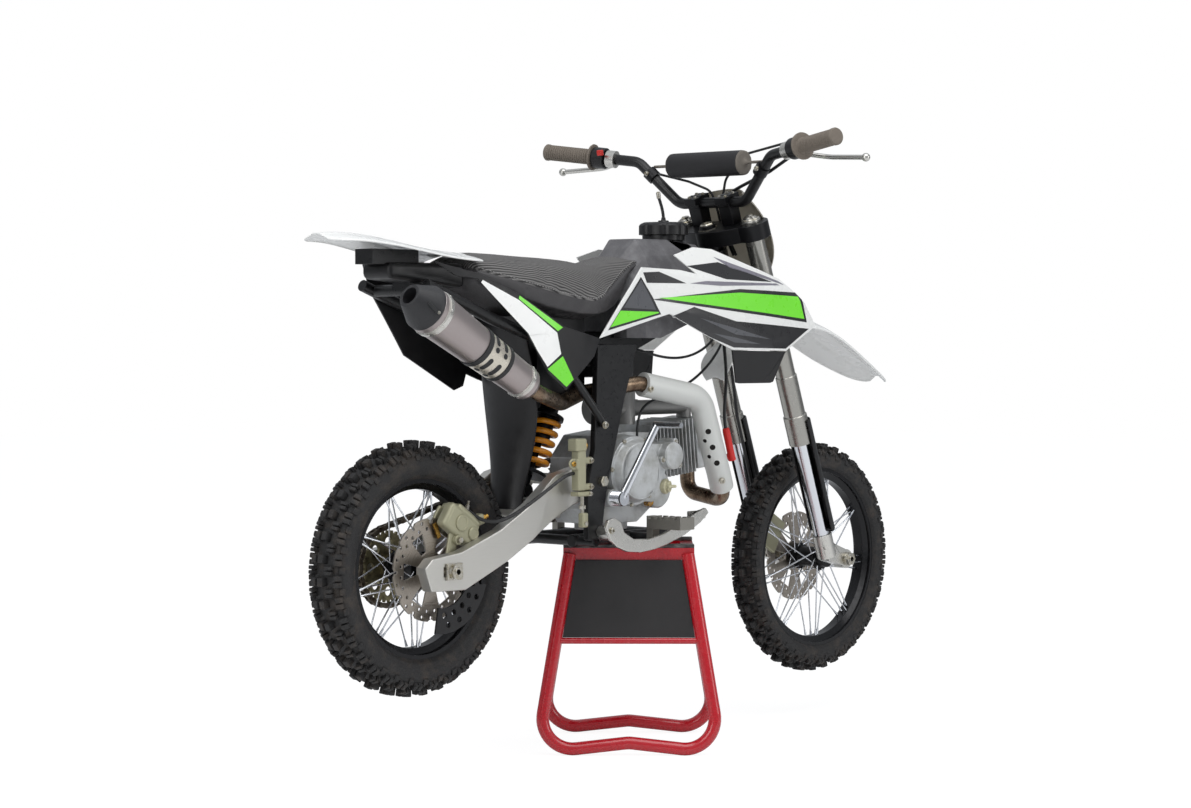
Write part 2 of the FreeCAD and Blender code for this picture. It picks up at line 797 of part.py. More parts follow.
def inside_chain(pitch_radius, teeth):
    """The largest radius that stays inside the chain's flats as they go round a sprocket."""
    return (pitch_radius - S.chain_height / 2) * math.cos(math.pi / teeth) - S.sprocket_clearance


rear_sprocket = toothed_wheel(REAR_AXLE, rear_teeth, inside_chain(rear_pitch_radius, rear_teeth),
                              S.chain_line, S.hub_radius + S.seat_gap, S.sprocket_hole_circle, 8)
hub_end = S.rear_hub_length / 2
sprocket_boss = rod(REAR_AXLE + SIDE * (hub_end + S.seat_gap),
                    REAR_AXLE + SIDE * (S.chain_line + S.sprocket_thickness / 2), S.hub_radius + S.overrun)
axle_way = rod(REAR_AXLE, REAR_AXLE + SIDE * S.arm_rear_inner, S.axle_radius + S.running_gap)
feature("rear_sprocket", rear_sprocket.fuse(sprocket_boss).cut(axle_way))


def chain_loop():
    """The chain as one closed band of alternately wide and narrow links."""
    gap = OUTPUT - REAR_AXLE
    span = math.hypot(gap.x, gap.z)
    climb = math.atan2(gap.z, gap.x)
    lean = math.asin((rear_pitch_radius - front_pitch_radius) / span)
    run = span * math.cos(lean)
    rear_arc = math.pi + 2 * lean
    front_arc = math.pi - 2 * lean
    total = 2 * run + rear_pitch_radius * rear_arc + front_pitch_radius * front_arc
    links = 2 * round(total / S.chain_pitch / 2)

    def at(distance):
        """Place and outward way of the chain's middle line, going round from the top run's rear end."""
        top_turn = climb + math.pi / 2 - lean
        if distance < rear_pitch_radius * rear_arc:
            turn, centre, r = top_turn + distance / rear_pitch_radius, REAR_AXLE, rear_pitch_radius
        elif distance < rear_pitch_radius * rear_arc + run:
            along = distance - rear_pitch_radius * rear_arc
            turn = climb - math.pi / 2 + lean
            way = Vector(math.cos(climb + lean), 0, math.sin(climb + lean))
            out = Vector(math.cos(turn), 0, math.sin(turn))
            return REAR_AXLE + out * rear_pitch_radius + way * along, out
        elif distance < total - run:
            along = distance - rear_pitch_radius * rear_arc - run
            turn = climb - math.pi / 2 + lean + along / front_pitch_radius
            centre, r = OUTPUT, front_pitch_radius
        else:
            along = total - distance
            turn = climb + math.pi / 2 - lean
            way = Vector(math.cos(climb - lean), 0, math.sin(climb - lean))
            out = Vector(math.cos(turn), 0, math.sin(turn))
            return REAR_AXLE + out * rear_pitch_radius + way * along, out
        out = Vector(math.cos(turn), 0, math.sin(turn))
        return centre + out * r, out

    stations = [at(total * link / links) for link in range(links)]
    faces = []

    def add(*points):
        faces.append(Part.Face(Part.makePolygon(list(points) + [points[0]])))

    def corner(station, half, level):
        place, out = stations[station % links]
        return place + out * (level * S.chain_height / 2) + SIDE * (S.chain_line + half)

    wide, narrow = S.chain_outer_width / 2, S.chain_inner_width / 2
    for link in range(links):
        half = wide if link % 2 else narrow
        after = link + 1
        for level in (1, -1):
            add(corner(link, half, level), corner(after, half, level),
                corner(after, -half, level), corner(link, -half, level))
        for side in (half, -half):
            add(corner(link, side, 1), corner(after, side, 1), corner(after, side, -1),
                corner(link, side, -1))
        for side in (1, -1):
            add(corner(link, wide * side, 1), corner(link, narrow * side, 1),
                corner(link, narrow * side, -1), corner(link, wide * side, -1))
    shell = Part.makeShell(faces)
    shell.sewShape()
    solid = Part.makeSolid(shell)
    return solid if solid.Volume > 0 else solid.reversed()


feature("chain", chain_loop())


# Axles
def hex_nut(face, push, radius):
    """A six-sided nut that stands on a face which looks along Y."""
    turns = [math.radians(60 * corner) for corner in range(6)]
    return plate([face + Vector(radius * math.cos(turn), 0, radius * math.sin(turn)) for turn in turns],
                 push)


def axle(label, centre, reach, adjusters=False):
    """A hollow axle with its nuts, and at the rear the two adjuster blocks that it slides in."""
    end = reach + S.adjuster_thickness
    solid = rod(centre - SIDE * (end + S.nut_height), centre + SIDE * (end + S.nut_height), S.axle_radius)
    for side in (1, -1):
        face = centre + SIDE * (side * reach)
        washer = block(Vector(-S.adjuster_length / 2, 0, -S.adjuster_height / 2),
                       Vector(S.adjuster_length / 2, S.adjuster_thickness, S.adjuster_height / 2))
        if not adjusters:
            washer = rod(Vector(), SIDE * S.adjuster_thickness, S.nut_radius)
        washer.Placement = Placement(face, Rotation(UP, 0 if side > 0 else 180))
        nut_face = centre + SIDE * (side * end)
        nut = hex_nut(nut_face, SIDE * (side * S.nut_height * 0.8), S.nut_radius)
        solid = solid.fuse([washer, nut])
    bore = rod(centre - SIDE * (end + S.nut_height + S.overrun),
               centre + SIDE * (end + S.nut_height + S.overrun), S.axle_bore_radius)
    return feature(label, solid.removeSplitter().cut(bore))


axle("rear_axle", REAR_AXLE, S.arm_rear_outer, True)
axle("front_axle", FRONT_AXLE, S.fork_spread + S.lug_half_width)


# Swingarm
def swing_half():
    """One tapered arm, from its slotted end to the pivot."""
    corner = REAR_AXLE + Vector(-S.arm_tail, 0, -S.arm_height * 0.25)
    long = S.swingarm_reach + S.arm_tail
    shares = [(0.0, 0.30), (0.035, 0.05), (0.22, 0.04), (0.45, 0.30), (0.66, 0.60), (0.86, 0.86),
              (0.99, 0.95), (1.035, 1.12), (1.0, 1.28), (0.90, 1.30), (0.77, 1.22), (0.60, 0.93),
              (0.42, 0.66), (0.20, 0.45), (0.04, 0.40)]
    outline = side_view(corner, long, S.arm_height, shares)
    slab = plate([point + SIDE * S.arm_front_inner for point in outline],
                 SIDE * (S.arm_rear_outer - S.arm_front_inner))
    tail, nose = REAR_AXLE.x - S.arm_tail, PIVOT.x + S.arm_pivot_radius * 2
    plan = [Vector(tail - S.overrun, S.arm_rear_inner, 0),
            Vector(REAR_AXLE.x + long * 0.45, S.arm_rear_inner, 0),
            Vector(PIVOT.x - S.brace_back, S.arm_front_inner, 0), Vector(nose, S.arm_front_inner, 0),
            Vector(nose, S.arm_front_outer, 0), Vector(PIVOT.x - S.brace_back, S.arm_front_outer, 0),
            Vector(REAR_AXLE.x + long * 0.45, S.arm_rear_outer, 0),
            Vector(tail - S.overrun, S.arm_rear_outer, 0)]
    wide = plate(plan, UP * (pivot_height * 2))
    arm = slab.common(wide)
    slot = block(REAR_AXLE + Vector(-S.axle_slot_length / 2, 0, -S.axle_radius - S.seat_gap),
                 REAR_AXLE + Vector(S.axle_slot_length / 2, S.arm_rear_outer * 2,
                                    S.axle_radius + S.seat_gap))
    return arm.cut(slot)


def swingarm():
    half = swing_half()
    brace_corner = PIVOT + Vector(-S.brace_back, -S.arm_front_inner - S.overrun, -S.brace_drop)
    brace = block(brace_corner, brace_corner + Vector(S.brace_length, 2 * (S.arm_front_inner + S.overrun),
                                                      S.brace_height))
    tube = rod(PIVOT - SIDE * S.arm_front_outer, PIVOT + SIDE * S.arm_front_outer, S.pivot_tube_radius)
    return fused([half, half.mirror(Vector(), SIDE), brace, tube])


feature("swingarm", swingarm())


# Shock, spring and mudflap
SHOCK_FOOT = PIVOT + Vector(-S.shock_foot_back, 0, -S.shock_foot_drop)
SHOCK_WAY = Vector(S.shock_lean, 0, S.shock_rise)
shock_length = SHOCK_WAY.Length
SHOCK_WAY.normalize()


def shock():
    spring_low = shock_length * 0.16
    spring_high = spring_low + S.spring_length
    low = SHOCK_FOOT + SHOCK_WAY * spring_low
    high = SHOCK_FOOT + SHOCK_WAY * spring_high
    top = SHOCK_FOOT + SHOCK_WAY * shock_length
    eyes = [rod(end - SIDE * (S.shock_eye_width / 2), end + SIDE * (S.shock_eye_width / 2),
                S.shock_eye_radius)
            for end in (SHOCK_FOOT, top)]
    rods = [rod(SHOCK_FOOT, top, S.shock_rod_radius),
            rod(low - SHOCK_WAY * S.shock_perch_thickness, low, S.shock_perch_radius),
            rod(high, high + SHOCK_WAY * S.shock_perch_thickness, S.shock_perch_radius),
            rod(high - SHOCK_WAY * (S.spring_length * 0.45), top - SHOCK_WAY * (S.shock_eye_radius * 1.6),
                S.shock_body_radius)]
    return fused(rods + eyes), low, high


def coil_spring(low):
    """A round wire wound between the two perches."""
    usable = S.spring_length - 2 * S.spring_wire_radius - 2 * S.seat_gap
    helix = Part.makeHelix(usable / S.spring_turns, usable, S.spring_radius)
    ring = Part.Wire(Part.makeCircle(S.spring_wire_radius, Vector(S.spring_radius, 0, 0), SIDE))
    coil = Part.Wire(helix).makePipeShell([ring], True, True)
    base = low + SHOCK_WAY * (S.spring_wire_radius + S.seat_gap)
    coil.Placement = Placement(base, Rotation(UP, SHOCK_WAY))
    return coil


shock_shape, spring_foot, spring_head = shock()
feature("shock", shock_shape)
feature("shock_spring", coil_spring(spring_foot))


def mudflap():
    """A curved black sheet between the rear tyre and the shock."""
    foot = Vector(REAR_AXLE.x + S.rear_tyre_radius + S.flap_gap, 0, PIVOT.z - S.flap_foot_drop)
    rings = []
    for share, curve_share, width_share in ((0.0, 0.5, 0.66), (0.25, 0.05, 0.78), (0.5, 0.0, 1.0),
                                            (0.75, 0.35, 1.0),
                                            (1.0, 1.0, 1.0)):
        centre = foot + Vector(-S.flap_curve * curve_share, 0, S.flap_height * share)
        rings.append(arch_section(centre, S.flap_half_width * width_share, S.flap_curve * 0.5,
                                  S.flap_thickness,
                                  Vector(-1, 0, 0)))
    tab_at = foot + Vector(-S.flap_curve * 0.14, 0, S.flap_height * 0.9)
    tabs = [rod(tab_at + SIDE * (side * (S.flap_half_width - S.flap_thickness)),
                tab_at + SIDE * (side * (S.subframe_half_width - S.subframe_radius - S.seat_gap)),
                S.stud_radius)
            for side in (1, -1)]
    return fused([Part.makeLoft(rings, True, False)] + tabs)


feature("mudflap", mudflap())


# Main frame, subframe and strut
def frame_post():
    """One side's wide upright, from under the seat down to the foot."""
    corner = PIVOT + Vector(-S.post_length * 0.28, 0, -S.post_height * 0.30)
    shares = [(0.02, 0.0), (0.27, 0.0), (0.36, 0.22), (0.44, 0.34), (0.58, 0.52), (0.72, 0.71),
              (0.86, 0.86),
              (0.97, 1.0), (0.20, 1.0), (0.18, 0.75), (0.14, 0.46), (0.03, 0.31), (0.0, 0.2)]
    outline = side_view(corner, S.post_length, S.post_height, shares)
    return plate([point + SIDE * (S.post_outer - S.post_thickness) for point in outline],
                 SIDE * S.post_thickness)


def main_frame():
    post = frame_post()
    top = PIVOT + Vector(S.post_length * 0.12, 0, S.post_height * 0.70)
    bridge = block(top + Vector(0, -S.post_outer, -S.spar_depth),
                   top + Vector(S.post_length * 0.5, S.post_outer, 0))
    neck = HEAD + ALONG * (S.head_tube_top + S.head_tube_length * 0.5)
    spar_start = top + Vector(S.post_length * 0.25, 0, -S.spar_depth * 0.5)
    half = S.spar_half_width
    deep = S.spar_depth / 2
    rear_ring = Part.makePolygon([spar_start + Vector(0, y, z) for y, z in
                                  ((-half, -deep), (half, -deep), (half, deep), (-half, deep),
                                   (-half, -deep))])
    slim = S.head_tube_radius
    front_ring = Part.makePolygon([neck + Vector(0, y, z) for y, z in
                                   ((-slim, -deep), (slim, -deep), (slim, deep), (-slim, deep),
                                    (-slim, -deep))])
    spar = Part.makeLoft([rear_ring, front_ring], True, True)
    head_low = HEAD + ALONG * (S.head_tube_top + S.head_tube_length)
    head_high = HEAD + ALONG * S.head_tube_top
    head_tube = rod(head_low, head_high, S.head_tube_radius)
    head_bore = rod(head_low + ALONG * S.overrun, head_high - ALONG * S.overrun, S.head_bore_radius)
    foot = PIVOT + Vector(-S.post_length * 0.2, 0, -S.post_height * 0.30)
    rail_z = S.stand_height + S.cradle_radius
    rail_start = Vector(foot.x, S.cradle_half_width, rail_z)
    rail_end = Vector(PIVOT.x + S.cradle_ahead, S.cradle_half_width, rail_z)
    rail = rod(rail_start, rail_end, S.cradle_radius)
    ends = []
    for x in (foot.x + S.cradle_radius, rail_end.x - S.cradle_radius):
        width = S.post_outer if x < PIVOT.x else S.cradle_half_width
        ends.append(rod(Vector(x, -width, rail_z), Vector(x, width, rail_z), S.cross_radius))
    peg_x = PIVOT.x + S.peg_ahead
    ends.append(rod(Vector(peg_x, -S.peg_start, rail_z), Vector(peg_x, S.peg_start, rail_z),
                    S.cross_radius))
    shock_top = SHOCK_FOOT + SHOCK_WAY * shock_length
    hanger_low = Vector(shock_top.x - S.shock_eye_radius, S.shock_eye_width / 2 + S.seat_gap,
                        shock_top.z - S.shock_eye_radius / 2)
    hanger = block(hanger_low, Vector(top.x + S.post_length * 0.5, hanger_low.y + S.spar_wall,
                                      top.z - S.overrun))
    solid = fused([post, post.mirror(Vector(), SIDE), bridge, spar, head_tube, rail,
                   rail.mirror(Vector(), SIDE), hanger, hanger.mirror(Vector(), SIDE)] + ends)
    pivot_bore = rod(PIVOT - SIDE * S.post_outer * 2, PIVOT + SIDE * S.post_outer * 2, S.axle_radius)
    return solid.cut([head_bore, pivot_bore])


feature("main_frame", main_frame())


def subframe():
    """Two upper tubes with a cross tube at the tail, and a strut down each side."""
    start = PIVOT + Vector(0, S.subframe_half_width, S.post_height * 0.70 - S.spar_depth * 0.5)
    tail = start + Vector(-S.subframe_length + S.post_length * 0.1, 0, S.subframe_rise)
    knee = start + (tail - start) * 0.62 + Vector(0, 0, -S.subframe_radius * 0.6)
    rail = bent_tube([start, knee, tail], S.subframe_radius, S.subframe_length * 0.3)
    cross_at = start + (tail - start) * 0.93
    cross = rod(cross_at - SIDE * (2 * S.subframe_half_width), cross_at, S.subframe_radius)
    foot = PIVOT + Vector(0, S.strut_half_width, S.strut_foot_rise)
    head = foot + Vector(-S.strut_length, S.subframe_half_width - S.strut_half_width, S.strut_rise)
    strut = rod(foot, head, S.strut_radius)
    bracket_low = Vector(cross_at.x - S.subframe_radius, -S.tail_box_width / 2, cross_at.z)
    box_high = bracket_low + Vector(S.subframe_radius * 2, S.tail_box_width, S.tail_box_rise)
    bracket = block(bracket_low, box_high)
    box_low = Vector(box_high.x - S.tail_box_length, -S.tail_box_width / 2, box_high.z - S.tail_box_height)
    return fused([rail, rail.mirror(Vector(), SIDE), cross, strut, strut.mirror(Vector(), SIDE), bracket,
                  block(box_low, box_high)])


frame_shape = NODES["main_frame"].Shape
feature("subframe", subframe().cut(frame_shape))


# The throttle and clutch cables from the steering head back to the engine
CARB = ENGINE + Vector(S.carb_ahead, 0, S.carb_rise)
head_side = S.head_tube_radius + S.cable_gap * 2
cable_exit = [in_fork(S.head_tube_radius + S.cable_gap, -S.head_tube_radius, S.head_tube_top * 2.1),
              in_fork(0, -head_side, S.head_tube_top * 2.5),
              in_fork(-S.head_tube_radius * 2.1, -head_side, S.lower_clamp_drop)]
cap_top = CARB + UP * (S.carb_height * 0.8)
throttle_route = cable_exit + [Vector(cap_top.x + S.carb_height, -head_side,
                                      cap_top.z + S.spar_depth * 0.5),
                               Vector(cap_top.x, -head_side, cap_top.z + S.spar_depth * 0.5),
                               cap_top + UP * (S.spar_depth * 0.5), cap_top]
aside = Vector(0, -S.cable_gap, -S.cable_gap)
clutch_end = Vector(ENGINE.x + S.cable_gap * 4, -S.post_outer * 0.8, ENGINE.z + S.carb_rise * 0.45)
clutch_route = [point + aside for point in cable_exit] + [
    Vector(cap_top.x + S.carb_height, -head_side, cap_top.z) + aside,
    Vector(clutch_end.x, clutch_end.y, cap_top.z - S.spar_depth), clutch_end]


# Seat, tank and cap
def moulded(corner, length, height, half_width, stations, flat=False):
    """A closed body lofted through sections given as shares of its length, width and height."""
    rings = [body_section(corner + Vector(length * along, 0, 0), half_width * low_half,
                          half_width * high_half,
                          height * low, height * high) for along, low_half, high_half, low,
                          high in stations]
    return Part.makeLoft(rings, True, flat)


SEAT = PIVOT + Vector(-S.seat_back, 0, S.seat_rise)
seat_shares = [(0.0, 0.62, 0.55, 0.62, 0.91), (0.11, 0.86, 0.74, 0.46, 0.90), (0.30, 1.0, 0.82, 0.30, 0.87),
               (0.50, 1.0, 0.76, 0.22, 0.84), (0.64, 0.92, 0.66, 0.30, 0.81),
               (0.76, 0.72, 0.54, 0.60, 0.89),
               (0.88, 0.52, 0.44, 0.84, 0.97)]
tank_shares = [(0.0, 0.70, 0.40, 0.0, 0.60), (0.12, 0.92, 0.50, 0.0, 0.82), (0.26, 1.0, 0.60, 0.0, 1.0),
               (0.62, 1.0, 0.62, 0.16, 1.0), (1.0, 0.70, 0.46, 0.42, 0.96)]
TANK = PIVOT + Vector(S.tank_ahead, 0, S.tank_rise)
seat = moulded(SEAT, S.seat_length, S.seat_height, S.seat_half_width, seat_shares)
tank = moulded(TANK, S.tank_length, S.tank_height, S.tank_half_width, tank_shares, flat=True)
cable_room = [bent_tube(route, S.cable_radius + S.overrun, S.cable_bend * 0.5)
              for route in (throttle_route, clutch_route)]
tank = tank.cut([frame_shape] + cable_room)
feature("fuel_tank", max(tank.Solids, key=lambda solid: solid.Volume))
seat = seat.cut([NODES["fuel_tank"].Shape, frame_shape, NODES["subframe"].Shape])
feature("seat", max(seat.Solids, key=lambda solid: solid.Volume))


def tank_cap():
    centre = Vector(PIVOT.x + S.cap_ahead, 0, TANK.z + S.tank_height)
    disc = rod(centre, centre + UP * S.cap_height, S.cap_radius)
    neck = rod(centre + UP * S.cap_height, centre + UP * (S.cap_height + S.hose_radius * 4),
               S.hose_radius * 2)
    return fused([disc, neck])


feature("tank_cap", tank_cap())


# Side plastics
def side_panel(outline, plan):
    """A thin curved panel: a bent wall cut to the panel's side view."""
    reach = S.post_outer * 3
    prism = plate(outline, SIDE * reach)
    inner = [Vector(x, y, 0) for x, y in plan]
    outer = [Vector(x, y + S.plastic_wall, 0) for x, y in plan]
    curves = []
    for points in (inner, outer):
        curve = Part.BSplineCurve()
        curve.interpolate(points)
        curves.append(curve.toShape())
    ends = [Part.LineSegment(inner[0], outer[0]).toShape(),
            Part.LineSegment(inner[-1], outer[-1]).toShape()]
    sheet_face = Part.Face(Part.Wire(Part.__sortEdges__(curves + ends)))
    return prism.common(sheet_face.extrude(UP * (HEAD.z * 2)))


def folded_panel(outline, stations):
    """A thin panel with creases along it: a folded sheet cut to the panel's side view."""
    rings = []
    for x, fold in stations:
        outer = [Vector(x, y, z) for y, z in fold]
        inner = [point - SIDE * S.plastic_wall for point in reversed(outer)]
        rings.append(Part.makePolygon(outer + inner + outer[:1]))
    return plate(outline, SIDE * (S.post_outer * 3)).common(Part.makeLoft(rings, True, True))


def shroud(shares):
    """A shroud flares out forwards, leans in to the tank above its upper crease and tucks in below."""
    height = S.shroud_height + S.wing_height
    corner = PIVOT + Vector(-S.shroud_back, 0, S.shroud_drop_rise - S.wing_height)
    outline = side_view(corner, S.shroud_length, height, shares)
    stations = []
    for along, flare, lean, tuck in ((0.0, 0.0, 0.10, 0.08), (0.25, 0.2, 0.5, 0.2), (0.5, 0.55, 0.8, 0.5),
                                     (0.75, 0.9, 0.8, 0.6), (1.0, 1.0, 0.6, 0.6)):
        crease_y = S.shroud_inner + S.shroud_flare * flare
        upper = corner.z + height * (0.735 - 0.265 * along)
        lower = corner.z + height * (0.64 - 0.54 * along)
        stations.append((corner.x + S.shroud_length * along + S.overrun * (along * 2 - 1),
                         [(crease_y - S.shroud_flare * lean, upper + height * 0.36), (crease_y, upper),
                          (crease_y, lower), (crease_y - S.shroud_flare * tuck, lower - height * 0.56)]))
    return folded_panel(outline, stations)


white_shares = [(0.0, 0.274), (0.183, 0.687), (0.358, 0.675), (0.430, 0.654), (0.345, 0.762), (0.45, 0.813),
                (0.54, 0.804), (0.83, 0.633), (0.885, 0.569), (0.939, 0.485), (0.997, 0.346),
                (0.841, 0.194),
                (0.597, 0.203), (0.455, 0.307), (0.31, 0.416)]
black_shares = [(0.597, 0.200), (0.633, 0.004), (0.65, 0.0), (0.785, 0.0), (0.80, 0.006), (0.838, 0.191)]
shroud_stud_at = Vector(PIVOT.x + S.shroud_stud_ahead, 0, TANK.z + S.shroud_stud_rise)
shroud_stud = rod(shroud_stud_at + SIDE * (S.tank_half_width + S.seat_gap),
                  shroud_stud_at + SIDE * (S.shroud_inner + S.shroud_flare * 0.37), S.stud_radius)
feature("shrouds", both_sides(fused([shroud(white_shares), shroud_stud])))
feature("shroud_wings", both_sides(shroud(black_shares)))


def plates(shares):
    corner = PIVOT + Vector(-S.plate_back, 0, S.plate_rise)
    outline = side_view(corner, S.plate_length, S.plate_height, shares)
    far = corner.x + S.plate_length
    plan = [(corner.x - S.plate_length * 0.05, S.plate_inner),
            (corner.x + S.plate_length * 0.35, S.plate_inner + S.plate_flare * 0.2),
            (corner.x + S.plate_length * 0.7, S.plate_inner + S.plate_flare),
            (far + S.overrun, S.plate_inner + S.plate_flare)]
    return side_panel(outline, plan)


left_shares = [(0.0, 1.0), (0.04, 0.80), (0.24, 0.34), (0.57, 0.08), (0.63, 0.11), (0.65, 0.20),
               (0.98, 0.02), (0.93, 0.46),
               (0.72, 0.54), (0.45, 0.78), (0.17, 0.90)]
right_shares = [(-0.02, 1.0), (0.11, 0.90), (0.23, 0.88), (0.50, 0.50), (0.62, 0.20), (0.71, 0.09),
                (0.88, 0.33),
                (0.92, 0.46), (0.70, 0.55), (0.45, 0.78), (0.24, 0.92)]
plate_stud_at = PIVOT + Vector(-S.plate_stud_back, 0, S.plate_stud_rise)
plate_stud = rod(plate_stud_at + SIDE * (S.subframe_half_width + S.subframe_radius + S.seat_gap),
                 plate_stud_at + SIDE * (S.plate_inner + S.plate_flare * 0.9), S.stud_radius)
left_plate = fused([plates(left_shares), plate_stud])
right_plate = fused([plates(right_shares), plate_stud]).mirror(Vector(), SIDE)
feature("side_plates", Part.makeCompound([left_plate, right_plate]))


def tail_fender():
    front = PIVOT + Vector(-S.tail_front_back, 0, S.tail_rise)
    rings = []
    for share, half, climb in ((0.0, 0.92, -0.1), (0.3, 1.0, 0.1), (0.6, 0.86, 0.75), (0.85, 0.62, 1.1),
                               (1.0, 0.45, 1.0)):
        centre = front + Vector(-S.tail_length * share, 0, S.tail_climb * climb)
        rings.append(arch_section(centre, S.tail_half_width * half, S.tail_crown, S.plastic_wall, UP))
    return Part.makeLoft(rings, True, False)


feature("rear_fender", tail_fender().cut([NODES["seat"].Shape, NODES["subframe"].Shape,
                                          NODES["side_plates"].Shape]))


# Engine
def crankcase():
    corner = ENGINE + Vector(-S.case_length * 0.42, 0, -S.case_height * 0.58)
    shares = [(0.10, 0.0), (0.72, 0.0), (0.98, 0.18), (1.08, 0.34), (1.08, 0.86), (0.92, 0.98), (0.55, 1.0),
              (0.20, 0.96), (0.0, 0.72), (0.0, 0.16)]
    outline = side_view(corner, S.case_length, S.case_height, shares)
    case = plate([point - SIDE * S.case_half_width for point in outline],
                 SIDE * (2 * S.case_half_width - S.chain_outer_width * 2))
    crank = ENGINE + FORWARD * S.generator_ahead
    generator = cone(crank + SIDE * (S.case_half_width - S.chain_outer_width * 2),
                     crank + SIDE * (S.case_half_width + S.generator_depth), S.generator_radius,
                     S.generator_radius * 0.93)
    lug = [block(Vector(ENGINE.x + S.case_length * ahead, -S.cradle_half_width * 0.5,
                        S.stand_height + S.cradle_radius * 2),
                 Vector(ENGINE.x + S.case_length * (ahead + 0.12), S.cradle_half_width * 0.5, ENGINE.z))
           for ahead in (-0.1, 0.25)]
    shaft = rod(OUTPUT, OUTPUT + SIDE * (S.chain_line + S.sprocket_thickness), S.axle_radius * 1.2)
    small = toothed_wheel(OUTPUT, front_teeth, inside_chain(front_pitch_radius, front_teeth), S.chain_line,
                          0)
    return fused([case, generator, shaft, small] + lug)


chain_shape = NODES["chain"].Shape
swing_shape = NODES["swingarm"].Shape
feature("crankcase", crankcase().cut([frame_shape, swing_shape]))


def clutch_cover():
    face = ENGINE - SIDE * S.case_half_width
    main = cone(face, face - SIDE * S.cover_depth * 0.72, S.cover_radius, S.cover_radius * 0.95)
    dome = cone(face - SIDE * S.cover_depth * 0.72, face - SIDE * S.cover_depth, S.cover_radius * 0.86,
                S.cover_radius * 0.78)
    boss_at = face + Vector(S.cover_boss_ahead, 0, S.cover_boss_rise)
    boss = rod(boss_at, boss_at - SIDE * (S.cover_depth * 0.85), S.cover_boss_radius)
    bridge = plate([face + Vector(0, 0, S.cover_radius * 0.7),
                    face + Vector(S.cover_boss_ahead, 0, S.cover_boss_rise + S.cover_boss_radius * 0.9),
                    face + Vector(S.cover_boss_ahead, 0, S.cover_boss_rise - S.cover_boss_radius * 0.9),
                    face + Vector(S.cover_boss_ahead * 0.6, 0, -S.cover_radius * 0.9),
                    face + Vector(0, 0, -S.cover_radius * 0.8)], SIDE * (-S.cover_depth * 0.55))
    kick_at = face + Vector(-S.kick_shaft_back, 0, -S.kick_shaft_drop)
    kick_boss = rod(kick_at, kick_at - SIDE * (S.cover_depth * 0.8), S.kick_shaft_radius * 1.9)
    web = plate([face + Vector(0, 0, -S.cover_radius * 0.4), face + Vector(0, 0, -S.cover_radius * 0.9),
                 kick_at + Vector(0, 0, -S.kick_shaft_radius),
                 kick_at + Vector(0, 0, S.kick_shaft_radius * 1.5)],
                SIDE * (-S.cover_depth * 0.5))
    return fused([main, dome, boss, bridge, kick_boss, web])


feature("clutch_cover", clutch_cover().cut([frame_shape]))

BARREL_WAY = Vector(math.cos(math.radians(S.barrel_tilt)), 0, math.sin(math.radians(S.barrel_tilt)))
BARREL_UP = Vector(-BARREL_WAY.z, 0, BARREL_WAY.x)
BARREL_START = ENGINE + BARREL_WAY * (S.barrel_start + S.case_length * 0.09) + UP * S.engine_rise


def across(centre, length, width, height):
    """A box along the barrel's axis, starting at a centre point."""
    corner = centre - SIDE * (width / 2) - BARREL_UP * (height / 2)
    corners = [corner, corner + SIDE * width, corner + SIDE * width + BARREL_UP * height,
               corner + BARREL_UP * height]
    return plate(corners, BARREL_WAY * length)


def barrel():
    core = rod(BARREL_START, BARREL_START + BARREL_WAY * S.barrel_length, S.barrel_radius)
    fins = []
    count = int(S.barrel_length // S.fin_pitch)
    for index in range(count):
        at = BARREL_START + BARREL_WAY * (S.fin_pitch * index + (S.fin_pitch - S.fin_thickness) / 2)
        fins.append(across(at, S.fin_thickness, S.fin_width, S.fin_height))
    return fused([core] + fins)


case_cut = [NODES["crankcase"].Shape, NODES["clutch_cover"].Shape]
feature("cylinder", barrel().cut(case_cut))
HEAD_START = BARREL_START + BARREL_WAY * S.barrel_length


def cylinder_head():
    low = across(HEAD_START, S.rocker_length * 0.6, S.rocker_width, S.rocker_height)
    fins = [across(HEAD_START + BARREL_WAY * (S.rocker_length * 0.6 + S.fin_pitch * index + S.fin_pitch * 0.5),
                   S.fin_thickness, S.rocker_width * 0.9, S.rocker_height * 0.9) for index in range(2)]
    nose = across(HEAD_START, S.rocker_length, S.rocker_width * 0.55, S.rocker_height * 0.7)
    cap = rod(HEAD_START + BARREL_WAY * (S.rocker_length * 0.35) - SIDE * (S.rocker_width * 0.62),
              HEAD_START + BARREL_WAY * (S.rocker_length * 0.35) + SIDE * (S.rocker_width * 0.62),
              S.rocker_height * 0.24)
    return fused([low, nose, cap] + fins)


feature("cylinder_head", cylinder_head())


def carburettor():
    base = ENGINE + Vector(S.carb_ahead, 0, S.carb_rise)
    bowl = rod(base - UP * (S.carb_height * 0.35), base + UP * (S.carb_height * 0.65), S.carb_radius)
    cap = rod(base + UP * (S.carb_height * 0.65), base + UP * (S.carb_height * 0.8), S.carb_radius * 0.7)
    throat = rod(base - FORWARD * (S.carb_radius * 1.6), base + FORWARD * (S.carb_radius * 1.6),
                 S.carb_radius * 0.8)
    port = HEAD_START + BARREL_WAY * (S.rocker_length * 0.3) + BARREL_UP * (S.rocker_height / 2 + S.seat_gap)
    elbow = bent_tube([base + FORWARD * (S.carb_radius * 1.4), Vector(port.x, 0, base.z), port],
                      S.intake_radius, S.intake_radius * 2.4)
    filter_end = base - FORWARD * (S.carb_radius * 4.4)
    filter_body = cone(base - FORWARD * (S.carb_radius * 1.5), filter_end, S.carb_radius * 0.9,
                       S.carb_radius * 1.5)
    return fused([bowl, cap, throat, elbow, filter_body])


feature("carburettor", carburettor().cut([frame_shape, NODES["fuel_tank"].Shape,
                                          NODES["cylinder_head"].Shape] + case_cut))


